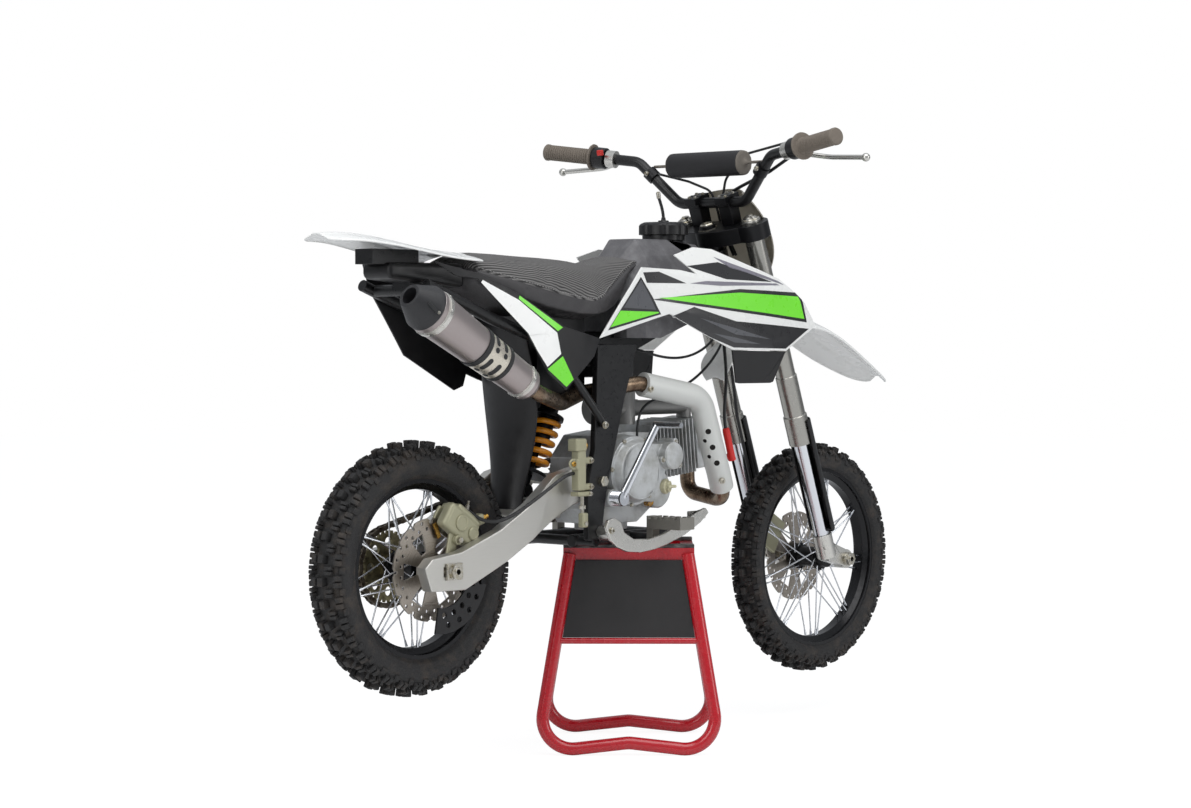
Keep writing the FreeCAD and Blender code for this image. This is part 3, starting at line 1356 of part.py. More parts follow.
def kick_starter():
    shaft = ENGINE + Vector(-S.kick_shaft_back, 0, -S.kick_shaft_drop)
    start = shaft - SIDE * (S.case_half_width + S.cover_depth * 0.8 + S.seat_gap)
    boss_end = start - SIDE * (S.kick_shaft_radius * 3)
    knee = boss_end + Vector(S.kick_lean, -S.kick_peg * 0.45, S.kick_reach)
    tip = knee - SIDE * S.kick_peg
    boss = rod(start, boss_end, S.kick_shaft_radius * 1.5)
    arm = cone(boss_end + SIDE * S.kick_shaft_radius, knee, S.kick_shaft_radius, S.kick_shaft_radius * 0.75)
    peg = cone(knee + SIDE * S.kick_shaft_radius * 0.6, tip, S.kick_shaft_radius * 0.75,
               S.kick_shaft_radius * 0.6)
    return fused([boss, arm, peg])


feature("kick_starter", kick_starter())


def gear_lever():
    shaft = ENGINE + Vector(-S.gear_shaft_back, 0, -S.gear_shaft_drop)
    side = S.post_outer + S.seat_gap
    start = shaft + SIDE * side
    boss = rod(start, start + SIDE * (S.kick_shaft_radius * 1.6), S.kick_shaft_radius * 1.2)
    end = start + Vector(S.gear_lever_length, S.kick_shaft_radius * 0.8, -S.kick_shaft_radius)
    arm = rod(start + SIDE * S.kick_shaft_radius * 0.8, end, S.kick_shaft_radius * 0.6)
    toe = rod(end, end + SIDE * (S.kick_shaft_radius * 4), S.kick_shaft_radius * 0.9)
    return fused([boss, arm, toe])


feature("gear_lever", gear_lever())


# Exhaust
MUFFLER_WAY = Vector(-math.cos(math.radians(S.muffler_rise_angle)), 0,
                     math.sin(math.radians(S.muffler_rise_angle)))
MUFFLER_FRONT = PIVOT + Vector(-S.muffler_front_back, -S.muffler_side, S.muffler_front_rise)
PORT = HEAD_START + BARREL_WAY * (S.rocker_length * 0.3) - BARREL_UP * (S.rocker_height / 2 + S.seat_gap)


def exhaust_route():
    """The header from the head's lower port, round the front of the engine and back to the muffler."""
    low = PORT.z - S.header_radius * 3.4
    side = -S.pipe_side
    return [PORT, Vector(PORT.x + S.header_radius * 0.2, 0, low),
            Vector(PORT.x - S.header_radius * 0.6, side * 0.86, low - S.header_radius),
            Vector(PORT.x - S.header_radius * 3.0, side, PORT.z - S.header_radius),
            Vector(PORT.x - S.header_radius * 7.0, side, PORT.z + S.header_radius * 9.6),
            Vector(PORT.x - S.header_radius * 17.6, -S.pipe_post_side - S.header_radius,
                   PORT.z + S.header_radius * 11.6)]


route = exhaust_route()
middle_end = MUFFLER_FRONT - MUFFLER_WAY * (S.header_radius * 1.6)
header_tail = [PIVOT + Vector(-S.header_radius * 0.6, S.header_radius - S.pipe_post_side,
                              S.muffler_front_rise - S.header_radius),
               PIVOT + Vector(-S.header_radius * 5.4, -S.pipe_post_side,
                              S.muffler_front_rise - S.header_radius * 2.2),
               middle_end, MUFFLER_FRONT]
header = bent_tube(route + header_tail, S.header_radius, S.header_radius * 3.2)
feature("header_pipe", header.cut([frame_shape, NODES["cylinder_head"].Shape]))


def heat_shield():
    """A wider tube round the header, held off it by a ring at each end."""
    start = route[3] + (route[4] - route[3]) * 0.12
    points = [start, route[4], route[4] + (route[5] - route[4]) * 0.92]
    bend = S.header_radius * 3.2
    shell = bent_tube(points, S.shield_radius, bend, S.shield_radius - S.shield_wall)
    rings = []
    for end, after in ((points[0], points[1]), (points[2], points[1])):
        way = after - end
        way.normalize()
        ring = rod(end, end + way * S.shield_ring, S.shield_radius - S.shield_wall / 2)
        rings.append(ring.cut(rod(end - way * S.overrun, end + way * (S.shield_ring + S.overrun),
                                  S.header_radius + S.seat_gap)))
    return fused([shell] + rings)


feature("heat_shield", heat_shield())
MUFFLER_TURN = Placement(MUFFLER_FRONT, Rotation(UP, MUFFLER_WAY))
keep(turned_body("muffler", [
    ("0", "0"), ("$muffler_front_radius * 0.7", "0"), ("$muffler_front_radius",
                                                       "$muffler_front_radius * 0.4"),
    ("$muffler_rear_radius", "$muffler_length"), ("0", "$muffler_length")], MUFFLER_TURN), "muffler")
keep(turned_body("muffler_tip", [
    ("$tip_bore", "$muffler_length"), ("$muffler_rear_radius", "$muffler_length"),
    ("$muffler_rear_radius", "$muffler_length + $tip_length * 0.2"),
    ("$tip_radius", "$muffler_length + $tip_length"), ("$tip_bore", "$muffler_length + $tip_length")],
    MUFFLER_TURN), "muffler_tip")


# Foot controls and rear brake
def foot_pegs():
    start = PIVOT + Vector(S.peg_ahead, S.peg_start + S.seat_gap, -S.peg_drop)
    half = S.peg_width / 2
    rail_z = S.stand_height + S.cradle_radius
    frame = block(start + Vector(-half, S.peg_length * 0.1, -S.peg_height / 2),
                  start + Vector(half, S.peg_length, S.peg_height / 2))
    window = block(start + Vector(-half * 0.7, S.peg_length * 0.2, -S.peg_height),
                   start + Vector(half * 0.7, S.peg_length * 0.9, S.peg_height))
    bar = block(start + Vector(-half, S.peg_length * 0.5, -S.peg_height / 2),
                start + Vector(half, S.peg_length * 0.6, S.peg_height / 2))
    hinge = block(Vector(start.x - half * 0.5, start.y, rail_z - S.cradle_radius),
                  Vector(start.x + half * 0.5, start.y + S.peg_length * 0.16, start.z + S.peg_height / 2))
    peg = frame.cut(window).fuse([bar, hinge])
    teeth = 5
    for tooth in range(teeth):
        at = start.y + S.peg_length * (0.14 + 0.86 * tooth / teeth)
        notch = block(Vector(start.x - half * 2, at, start.z + S.peg_height * 0.3),
                      Vector(start.x + half * 2, at + S.peg_length * 0.07, start.z + S.peg_height))
        peg = peg.cut(notch)
    return both_sides(peg)


feature("foot_pegs", foot_pegs())


def brake_pedal():
    pivot = PIVOT + Vector(-S.pedal_pivot_back, 0, -S.pedal_pivot_drop)
    corner = pivot + Vector(-S.pedal_length * 0.09, -S.pedal_side, -S.pedal_height * 0.45)
    shares = [(0.0, 0.60), (0.04, 0.32), (0.10, 0.16), (0.20, 0.04), (0.33, 0.0), (0.46, 0.04),
              (0.58, 0.12), (0.76, 0.30),
              (0.92, 0.55), (1.0, 0.75), (0.97, 0.86), (0.86, 0.74), (0.72, 0.55), (0.55, 0.36),
              (0.40, 0.28),
              (0.26, 0.30), (0.17, 0.46), (0.14, 0.68), (0.08, 0.78), (0.02, 0.74)]
    arm = plate(side_view(corner, S.pedal_length, S.pedal_height, shares), SIDE * S.pedal_thickness)
    tip = corner + Vector(S.pedal_length * 0.90, S.pedal_thickness, S.pedal_height * 0.62)
    toe = block(tip, tip + Vector(S.pedal_length * 0.1, S.pedal_thickness * 3, S.pedal_height * 0.16))
    boss = rod(pivot - SIDE * (S.post_outer + S.seat_gap), pivot - SIDE * S.pedal_side, S.nut_radius)
    return fused([arm, boss, toe])


feature("brake_pedal", brake_pedal())


def rear_master():
    corner = PIVOT + Vector(-S.master_back, -S.post_outer + S.plastic_wall, -S.master_drop)
    bodywork = block(corner - SIDE * S.master_width, corner + Vector(S.master_depth, 0, S.master_length))
    foot = corner + Vector(S.master_depth / 2, -S.master_width / 2, 0)
    rod_low = foot - UP * (S.master_length * 0.55)
    push = rod(foot, rod_low, S.nut_height * 0.5)
    clevis = block(rod_low - Vector(S.nut_height, S.nut_height, S.nut_height),
                   rod_low + Vector(S.nut_height, S.nut_height, S.nut_height))
    cap = rod(corner + Vector(S.master_depth / 2, -S.master_width / 2, S.master_length),
              corner + Vector(S.master_depth / 2, -S.master_width / 2, S.master_length * 1.08),
              S.nut_radius * 0.7)
    return fused([bodywork, push, clevis, cap])


def caliper(axle, side, turn, offset, reach):
    """A two-part caliper that straddles the edge of its disc."""
    turn = math.radians(turn)
    out = Vector(math.cos(turn), 0, math.sin(turn))
    lie = Vector(-out.z, 0, out.x)
    at = axle + out * (S.disc_radius - S.disc_ring * 0.5) + SIDE * offset
    half = S.caliper_length / 2
    inboard, outboard = SIDE * (side * S.caliper_inboard), SIDE * (side * S.caliper_outboard)
    corners = [at - lie * half - inboard, at + lie * half - inboard, at + lie * half + outboard,
               at - lie * half + outboard]
    bodywork = plate(corners, out * S.caliper_height)
    gap = S.disc_thickness / 2 + 3 * S.overrun
    slot_at = [at - lie * (2 * half) - SIDE * gap - out * S.overrun,
               at + lie * (2 * half) - SIDE * gap - out * S.overrun,
               at + lie * (2 * half) + SIDE * gap - out * S.overrun,
               at - lie * (2 * half) + SIDE * gap - out * S.overrun]
    slot = plate(slot_at, out * (S.disc_ring * 0.5 + S.disc_wave * 2 + S.overrun))
    arm_low = at + out * (S.caliper_height * 0.3) + outboard * 0.5
    arm = rod(arm_low, arm_low + SIDE * (side * reach), S.nut_radius * 0.8)
    return bodywork.cut(slot).fuse(arm)


def disc_guard():
    """A drilled quarter plate under the rear disc, bolted inside the swingarm's end."""
    outer, inner = S.disc_radius * 1.22, S.disc_radius * 0.72
    corners = []
    for radius, turns in ((outer, range(-100, -4, 12)), (inner, range(-16, -101, -12))):
        for turn in turns:
            angle = math.radians(turn)
            corners.append(REAR_AXLE + Vector(radius * math.cos(angle), guard_side,
                                              radius * math.sin(angle)))
    sector = plate(corners, SIDE * S.plastic_wall)
    holes = []
    for row, size in ((0.86, 0.0), (1.06, 0.5)):
        for index in range(5):
            angle = math.radians(-88 + 17 * (index + size * 0.6))
            at = REAR_AXLE + Vector(S.disc_radius * row * math.cos(angle), guard_side,
                                    S.disc_radius * row * math.sin(angle))
            holes.append(rod(at - SIDE * S.overrun, at + SIDE * (S.plastic_wall + S.overrun),
                             S.disc_hole_radius * 1.7))
    return sector.cut(holes)


rear_disc_side = -S.rear_disc_offset + S.hub_flange_thickness * 2
caliper_reach = S.arm_rear_inner + rear_disc_side - S.caliper_outboard * 0.5 - S.seat_gap
rear_caliper = caliper(REAR_AXLE, -1, S.rear_caliper_turn, rear_disc_side, caliper_reach)
guard_side = -S.arm_rear_inner
guard = disc_guard().cut([swing_shape])
feature("rear_brake", Part.makeCompound([rear_master(), rear_caliper.cut([swing_shape]),
                                         max(guard.Solids, key=lambda solid: solid.Volume)]))


# Fork, in the steering axis's own directions
def fork_place(ahead, side, drop=0):
    return Placement(in_fork(ahead, side, drop), FORK_TURN)


def twin(label, name, corners, ahead):
    """A turned piece of each fork leg, kept together in one sub-part."""
    right = turned_body(name, corners, fork_place(ahead, -S.fork_spread))
    left = doc.addObject("Part::Mirroring", name + "_left")
    left.Source = right
    left.Base = Vector()
    left.Normal = SIDE
    pair = doc.addObject("Part::Compound", label)
    pair.Links = [right, left]
    return keep(pair, label)


twin("fork_tubes", "fork_tube", [
    ("0", "$fork_cap_height"), ("$fork_tube_radius * 0.5", "$fork_cap_height"), ("$fork_tube_radius", "0"),
    ("$fork_tube_radius", "-$fork_step_drop"), ("$fork_step_radius", "-$fork_step_drop - $overrun"),
    ("$fork_step_radius", "-$fork_collar_drop"), ("$fork_collar_radius", "-$fork_collar_drop - $overrun"),
    ("$fork_collar_radius", "-$fork_tube_drop"), ("$slider_radius", "-$fork_tube_drop"),
    ("0", "-$fork_tube_drop")],
    S.fork_offset)
twin("fork_sliders", "fork_slider", [
    ("0", "-$fork_tube_drop"), ("$slider_radius", "-$fork_tube_drop"), ("$slider_radius", "-$slider_drop"),
    ("0", "-$slider_drop")], S.fork_offset)


def axle_lugs():
    """The cast foot of each fork leg, which carries the axle ahead of the leg."""
    solids = []
    for side in (1, -1):
        leg = in_fork(S.fork_offset, side * S.fork_spread, S.slider_drop)
        boss = in_fork(S.fork_offset + S.axle_lead, side * S.fork_spread, S.fork_length)
        half = SIDE * S.lug_half_width
        cup = rod(leg, leg - ALONG * (S.lug_boss_radius * 1.4), S.slider_radius + S.plastic_wall)
        slider_way = rod(leg, leg - ALONG * (S.lug_boss_radius * 3), S.slider_radius)
        foot = rod(leg, leg + ALONG * (S.lug_boss_radius * 1.2), S.slider_radius + S.plastic_wall)
        ring = rod(boss - half, boss + half, S.lug_boss_radius)
        web = plate([leg - ACROSS * S.slider_radius - half, leg + ACROSS * S.slider_radius - half,
                     boss + ACROSS * (S.lug_boss_radius * 0.6) - ALONG * (S.lug_boss_radius * 0.7) - half,
                     boss + ALONG * (S.lug_boss_radius * 0.95) - half,
                     leg + ALONG * (S.lug_boss_radius * 1.5) - ACROSS * S.slider_radius * 0.6 - half],
                     half * 2)
        bore = rod(boss - half * 4, boss + half * 4, S.axle_radius)
        solids.append(fused([foot, ring, web, cup.cut(slider_way)]).cut([bore, slider_way]))
    return Part.makeCompound(solids)


feature("axle_lugs", axle_lugs())


def fork_guards():
    """Black half shells in front of the sliders."""
    high = in_fork(S.fork_offset, S.fork_spread, S.guard_top_drop)
    low = in_fork(S.fork_offset, S.fork_spread, S.guard_drop - S.lug_boss_radius * 1.4)
    outer = rod(high, low, S.guard_radius)
    inner = rod(high - ALONG * S.overrun, low + ALONG * S.overrun, S.guard_radius - S.guard_wall)
    behind = plate([high - ACROSS * (S.guard_radius * 2) + SIDE * (y * S.guard_radius * 2) - ALONG * S.overrun
                    for y in (-1, 1)] +
                   [high + SIDE * (y * S.guard_radius * 2) - ALONG * S.overrun for y in (1, -1)],
                   (low - high) * 1.1)
    foot_at = low - ALONG * (S.guard_wall * 2)
    foot = rod(foot_at, low, S.guard_radius).cut([rod(foot_at - ALONG * S.overrun, low + ALONG * S.overrun,
                                                      S.slider_radius + S.seat_gap),
                                                  behind])
    return both_sides(outer.cut([inner, behind]).fuse(foot))


feature("fork_guards", fork_guards())


def triple_clamp():
    """Upper and lower clamps joined by the stem that turns in the head tube."""
    solids = []
    legs = [rod(in_fork(S.fork_offset, side * S.fork_spread, -S.overrun * 10),
                in_fork(S.fork_offset, side * S.fork_spread, S.fork_step_drop), S.fork_tube_radius)
            for side in (1, -1)]
    stem_top, stem_low = S.clamp_top_drop, S.lower_clamp_drop + S.head_tube_length * 0.25
    for drop, thick in ((S.clamp_top_drop, S.clamp_thickness),
                        (S.lower_clamp_drop + S.plastic_wall * 2, S.clamp_thickness)):
        middle = rod(in_fork(0, 0, drop), in_fork(0, 0, drop + thick), S.clamp_stem_radius)
        bosses = [rod(in_fork(S.fork_offset, side * S.fork_spread, drop),
                      in_fork(S.fork_offset, side * S.fork_spread, drop + thick),
                      S.clamp_boss_radius) for side in (1, -1)]
        plan = [(-0.8, 0.0), (-0.55, 0.55), (0.2, 1.0), (1.9, 1.0), (1.5, 0.5), (1.5, -0.5), (1.9, -1.0),
                (0.2, -1.0), (-0.55, -0.55)]
        slab = plate([in_fork(S.fork_offset * a, S.fork_spread * b, drop) for a, b in plan], ALONG * thick)
        solids += [middle, slab] + bosses
    stem = rod(in_fork(0, 0, stem_top), in_fork(0, 0, stem_low), S.head_bore_radius - S.running_gap)
    nut = rod(in_fork(0, 0, S.clamp_top_drop), in_fork(0, 0, S.clamp_top_drop - S.nut_height),
              S.nut_radius * 1.2)
    return fused(solids + [stem, nut]).cut(legs)


feature("triple_clamp", triple_clamp())


# Bars
BAR = in_fork(S.bar_ahead, 0, -S.bar_rise)


def bar_points():
    """Half of the bar's route, from its middle to its end."""
    low = BAR + SIDE * S.bar_low_half
    high = Vector(BAR.x - S.bar_sweep * 0.33, S.bar_high_half, BAR.z + S.bar_climb)
    end = Vector(BAR.x - S.bar_sweep, S.bar_half, high.z + S.bar_end_climb)
    return low, high, end


bar_low, bar_high, bar_end = bar_points()
other = [Vector(point.x, -point.y, point.z) for point in (bar_end, bar_high, bar_low)]
bar_route = other + [bar_low, bar_high, bar_end]
feature("handlebar", bent_tube(bar_route, S.bar_radius, S.bar_bend))


def bar_clamps():
    solids = []
    for side in (1, -1):
        at = BAR + SIDE * (side * S.bar_clamp_spread)
        half = SIDE * (S.bar_clamp_width / 2)
        foot = in_fork(S.bar_ahead, side * S.bar_clamp_spread, S.clamp_top_drop)
        ring = rod(at - half, at + half, S.bar_clamp_radius)
        post = plate([foot - ACROSS * S.bar_clamp_radius * 0.8 - half,
                      foot + ACROSS * S.bar_clamp_radius * 0.8 - half,
                      at + ACROSS * S.bar_clamp_radius * 0.9 - half,
                      at - ACROSS * S.bar_clamp_radius * 0.9 - half], half * 2)
        cap = plate([at + ACROSS * (S.bar_clamp_radius * a) - ALONG * (S.bar_clamp_radius * b) - half
                     for a, b in ((-1.4, 0.1), (1.4, 0.1), (1.4, 0.9), (-1.4, 0.9))], half * 2)
        way = rod(at - half * 2, at + half * 2, S.bar_radius)
        solids.append(fused([ring, post, cap]).cut(way))
    return Part.makeCompound(solids)


feature("bar_clamps", bar_clamps())


def bar_pad():
    """A foam roll on a thin cross bar that is clamped to the handlebar's uprights."""
    centre = Vector((bar_low.x + bar_high.x) / 2, 0, BAR.z + S.pad_rise)
    roll = rod(centre - SIDE * (S.pad_length / 2), centre + SIDE * (S.pad_length / 2), S.pad_radius)
    share = S.pad_rise / S.bar_climb
    reach = S.bar_low_half + (S.bar_high_half - S.bar_low_half) * share - S.bar_radius * 1.4
    cross = rod(centre - SIDE * reach, centre + SIDE * reach, S.bar_radius * 0.5)
    return fused([roll, cross]).cut(NODES["handlebar"].Shape)


feature("bar_pad", bar_pad())


def along_bar(start, length):
    """Two points on the bar's straight end, measured inward from its tip."""
    way = bar_high - bar_end
    way.normalize()
    return bar_end + way * start, bar_end + way * (start + length)


def sleeve(start, length, radius):
    low, high = along_bar(start, length)
    return rod(low, high, radius).cut(rod(*along_bar(start - S.overrun, length + 2 * S.overrun),
                                          S.bar_radius))


def grips():
    low, high = along_bar(-S.overrun * 2, S.grip_length)
    flange_low, flange_high = along_bar(S.grip_length - S.overrun * 2, S.grip_flange)
    grip = rod(low, high, S.grip_radius).fuse(rod(flange_low, flange_high, S.grip_flange_radius))
    way = rod(bar_end, along_bar(S.grip_length * 2, 0)[0], S.bar_radius)
    return both_sides(grip.removeSplitter().cut(way))


feature("grips", grips())
perch_start = S.grip_length + S.grip_flange + S.switch_length + S.seat_gap
feature("switch_gear", both_sides(sleeve(S.grip_length + S.grip_flange - S.overrun * 2 + S.seat_gap,
                                         S.switch_length, S.switch_radius)))


def levers():
    perch = sleeve(perch_start, S.perch_length, S.perch_radius)
    low, high = along_bar(perch_start, S.perch_length)
    root = (low + high) * 0.5 + FORWARD * (S.perch_radius * 1.6)
    arm_start = root + Vector(0, 0, -S.lever_radius)
    knee = arm_start + Vector(S.perch_radius, S.lever_length * 0.4, -S.lever_radius * 2)
    tip = arm_start + Vector(0, S.lever_length, -S.lever_radius * 3)
    arm = bent_tube([arm_start, knee, tip], S.lever_radius, S.lever_length * 0.3)
    ball = Part.makeSphere(S.lever_radius * 1.7, tip)
    bridge = rod((low + high) * 0.5 + FORWARD * (S.bar_radius + S.overrun), root + FORWARD * S.overrun,
                 S.lever_radius * 1.8)
    return both_sides(fused([perch, arm, ball, bridge]))


feature("levers", levers())


# Front plate and fender, carried by the fork
def number_plate():
    rings = []
    for share, half, lean in ((0.0, 0.62, 0.0), (0.3, 1.0, 0.05), (0.65, 0.96, 0.1), (1.0, 0.55, 0.0)):
        centre = in_fork(S.mask_ahead + S.mask_crown * lean, 0,
                         S.mask_foot + S.clamp_thickness - S.mask_height * share)
        rings.append(arch_section(centre, S.mask_half_width * half, S.mask_crown, S.plastic_wall, ACROSS))
    shell = Part.makeLoft(rings, True, False)
    pegs = [rod(in_fork(S.fork_offset * 1.9, side * S.fork_spread * 0.4,
                        S.clamp_top_drop + S.clamp_thickness / 2),
                in_fork(S.mask_ahead, side * S.fork_spread * 0.4, S.clamp_top_drop + S.clamp_thickness / 2),
                S.nut_height * 0.6) for side in (1, -1)]
    return fused([shell] + pegs).cut([NODES["triple_clamp"].Shape, NODES["fork_tubes"].Shape])


feature("number_plate", number_plate())


def front_fender():
    root = in_fork(S.fork_offset, 0, S.fender_drop + S.fender_crown)
    rings = []
    for along, half, rise in ((-0.20, 0.52, -0.12), (-0.08, 0.62, -0.04), (0.10, 0.68, 0.02),
                              (0.34, 0.90, 0.04),
                              (0.55, 0.96, -0.03), (0.80, 0.72, -0.13), (0.97, 0.42, -0.20)):
        centre = root + Vector(S.fender_length * along * 0.86, 0, S.fender_length * rise)
        rings.append(arch_section(centre, S.fender_half_width * half, S.fender_crown, S.plastic_wall, UP))
    shell = Part.makeLoft(rings, True, False)
    lower_face = S.lower_clamp_drop + S.plastic_wall * 2 + S.clamp_thickness
    spacer = rod(in_fork(S.fork_offset * 0.9, 0, lower_face),
                 in_fork(S.fork_offset * 0.9, 0, S.fender_drop + S.fender_crown * 1.3), S.nut_radius)
    return fused([shell, spacer]).cut([NODES["triple_clamp"].Shape, NODES["fork_tubes"].Shape])


feature("front_fender", front_fender())
front_disc_side = S.front_disc_offset - S.hub_flange_thickness
front_reach = S.fork_spread - S.lug_half_width - front_disc_side - S.caliper_outboard * 0.5
front_caliper = caliper(FRONT_AXLE, 1, S.front_caliper_turn, front_disc_side, front_reach)
feature("front_caliper", front_caliper.cut([NODES["fork_guards"].Shape, NODES["axle_lugs"].Shape,
                                            NODES["fork_sliders"].Shape]))


# Cables and hoses
def on_bar(start, side):
    """A point on the bar's straight end, measured inward from its tip."""
    point = along_bar(start, 0)[0]
    return Vector(point.x, point.y * side, point.z)


def steering_cables():
    """The throttle cable, the clutch cable and the front brake hose, as far as they turn with the fork."""
    switch_mid = S.grip_length + S.grip_flange + S.switch_length * 0.7
    lever_mid = perch_start + S.perch_length * 0.5
    ahead, apart = S.cable_ahead, S.cable_gap
    down = S.clamp_top_drop + S.clamp_thickness / 2
    last = S.head_tube_top + S.clamp_thickness
    throttle = [on_bar(switch_mid, -1) + UP * (S.switch_radius * 0.8) + FORWARD * (S.switch_radius * 0.4),
                BAR + Vector(S.bar_radius * 2, -S.bar_low_half * 0.82, S.pad_rise * 1.26),
                BAR + Vector(S.bar_radius * 3.8, 0, S.pad_rise * 0.65),
                in_fork(ahead, apart * 2, down - S.clamp_thickness), in_fork(ahead, apart * 2, down),
                in_fork(ahead * 0.9, -apart, last)]
    clutch = [on_bar(lever_mid, 1) + FORWARD * (S.perch_radius * 0.9),
              BAR + Vector(0, S.bar_high_half * 0.85, S.pad_rise * 0.83),
              BAR + Vector(S.bar_radius * 1.3, S.bar_low_half * 0.88, S.pad_rise * 0.6),
              BAR + Vector(S.bar_radius * 2.8, S.bar_low_half * 0.34, S.pad_rise * 0.34),
              in_fork(ahead, apart * 3, down - S.clamp_thickness), in_fork(ahead, apart * 3, down),
              in_fork(ahead * 0.9, 0, last)]
    leg = S.fork_spread
    caliper_top = FRONT_AXLE + Vector(-S.disc_radius, front_disc_side + S.caliper_outboard * 0.5,
                                      S.disc_radius * 0.9)
    hose = [on_bar(lever_mid, -1) + FORWARD * (S.perch_radius * 0.9) - UP * S.perch_radius * 0.4,
            BAR + Vector(0, -S.bar_high_half * 0.85, S.pad_rise * 0.75),
            BAR + Vector(S.bar_radius * 1.9, -S.bar_low_half * 0.7, S.pad_rise * 0.43),
            BAR + Vector(S.bar_radius * 2.7, -S.bar_low_half * 0.34, S.pad_rise * 0.31),
            in_fork(ahead, apart, down - S.clamp_thickness), in_fork(ahead, apart, down),
            in_fork(ahead * 0.95, leg * 0.42, S.lower_clamp_drop * 0.62),
            in_fork(ahead, leg * 0.52, S.lower_clamp_drop * 0.8),
            in_fork(ahead * 1.17, leg * 0.97, S.lower_clamp_drop),
            in_fork(ahead * 1.17, leg * 0.97, S.fender_drop * 1.06),
            in_fork(ahead * 0.9, leg * 0.84, S.fender_drop * 1.35),
            in_fork(S.fork_offset * 0.8, leg * 0.6, S.fender_drop * 1.6),
            in_fork(S.fork_offset * 0.45, leg * 0.62, S.fender_drop * 2),
            in_fork(S.fork_offset * 0.4, leg * 0.64, S.slider_drop * 0.84),
            caliper_top]
    return [bent_tube(throttle, S.cable_radius, S.cable_bend),
            bent_tube(clutch, S.cable_radius, S.cable_bend),
            bent_tube(hose, S.brake_hose_radius, S.cable_bend)]


def cut_free(tubes, names):
    """Trim the tubes where they enter other pieces and keep the longest part of each."""
    others = [NODES[name].Shape for name in names]
    return Part.makeCompound([max(tube.cut(others).Solids,
                                  key=lambda solid: solid.Volume) for tube in tubes])


def rear_hose():
    """The rear brake hose, from the master cylinder along the swingarm to the caliper."""
    start = PIVOT + Vector(-S.master_back + S.overrun, -S.post_outer - S.master_width * 0.2,
                           S.disc_arm_width)
    top = REAR_AXLE + Vector(S.disc_radius * 1.4, -S.arm_rear_outer * 0.94, S.disc_radius * 0.75)
    end = REAR_AXLE + Vector(S.disc_radius * 0.75, rear_disc_side - S.caliper_outboard * 0.5, S.disc_radius)
    return bent_tube([start, start + Vector(-S.cable_bend, 0, S.cable_gap), top, end + UP * S.cable_gap * 2,
                      end - UP * S.cable_gap], S.brake_hose_radius, S.cable_bend)


frame_tubes = [bent_tube(route, S.cable_radius, S.cable_bend * 0.5) for route in (throttle_route,
                                                                                  clutch_route)]
feature("frame_cables", cut_free(frame_tubes + [rear_hose()], (
    "main_frame", "fuel_tank", "carburettor", "clutch_cover", "crankcase", "cylinder_head", "header_pipe",
    "swingarm", "rear_brake", "mudflap")))
feature("steering_cables", cut_free(steering_cables(), (
    "handlebar", "levers", "switch_gear", "front_caliper")))


# Paddock stand
STAND = Vector(PIVOT.x + S.stand_ahead, -S.stand_side, 0)
STAND_TURN = Rotation(UP, -S.stand_turn)


def stand_loop(side):
    """One end frame: a bent tube, leaning in towards its top, with its foot raised in the middle."""
    lean = math.atan2((S.stand_foot_width - S.stand_top_width) / 2, S.stand_height)
    reach = (S.stand_height - S.stand_pad_height - S.stand_rail_height / 2) / math.cos(lean)
    half_foot = S.stand_foot_length / 2 - S.stand_tube_radius
    half_top = S.stand_top_length / 2 - S.stand_tube_radius
    dip = math.atan2(S.stand_dip, half_foot)
    leg_lean = math.atan2(reach, half_foot - half_top)
    turn = math.pi - leg_lean + dip
    corner_height = (S.stand_tube_radius / math.cos(lean) - S.stand_bend * math.tan(turn / 2) * math.sin(dip)
                     + S.stand_bend * (1 - math.cos(dip)))
    points = [Vector(-half_top, 0, reach), Vector(-half_foot, 0, corner_height),
              Vector(0, 0, corner_height + S.stand_dip), Vector(half_foot, 0, corner_height),
              Vector(half_top, 0, reach)]
    loop = bent_tube(points, S.stand_tube_radius, S.stand_bend)
    loop.Placement = Placement(SIDE * (side * S.stand_foot_width / 2),
                               Rotation(FORWARD, math.degrees(lean) * side))
    return loop, lean, half_foot, half_top, reach


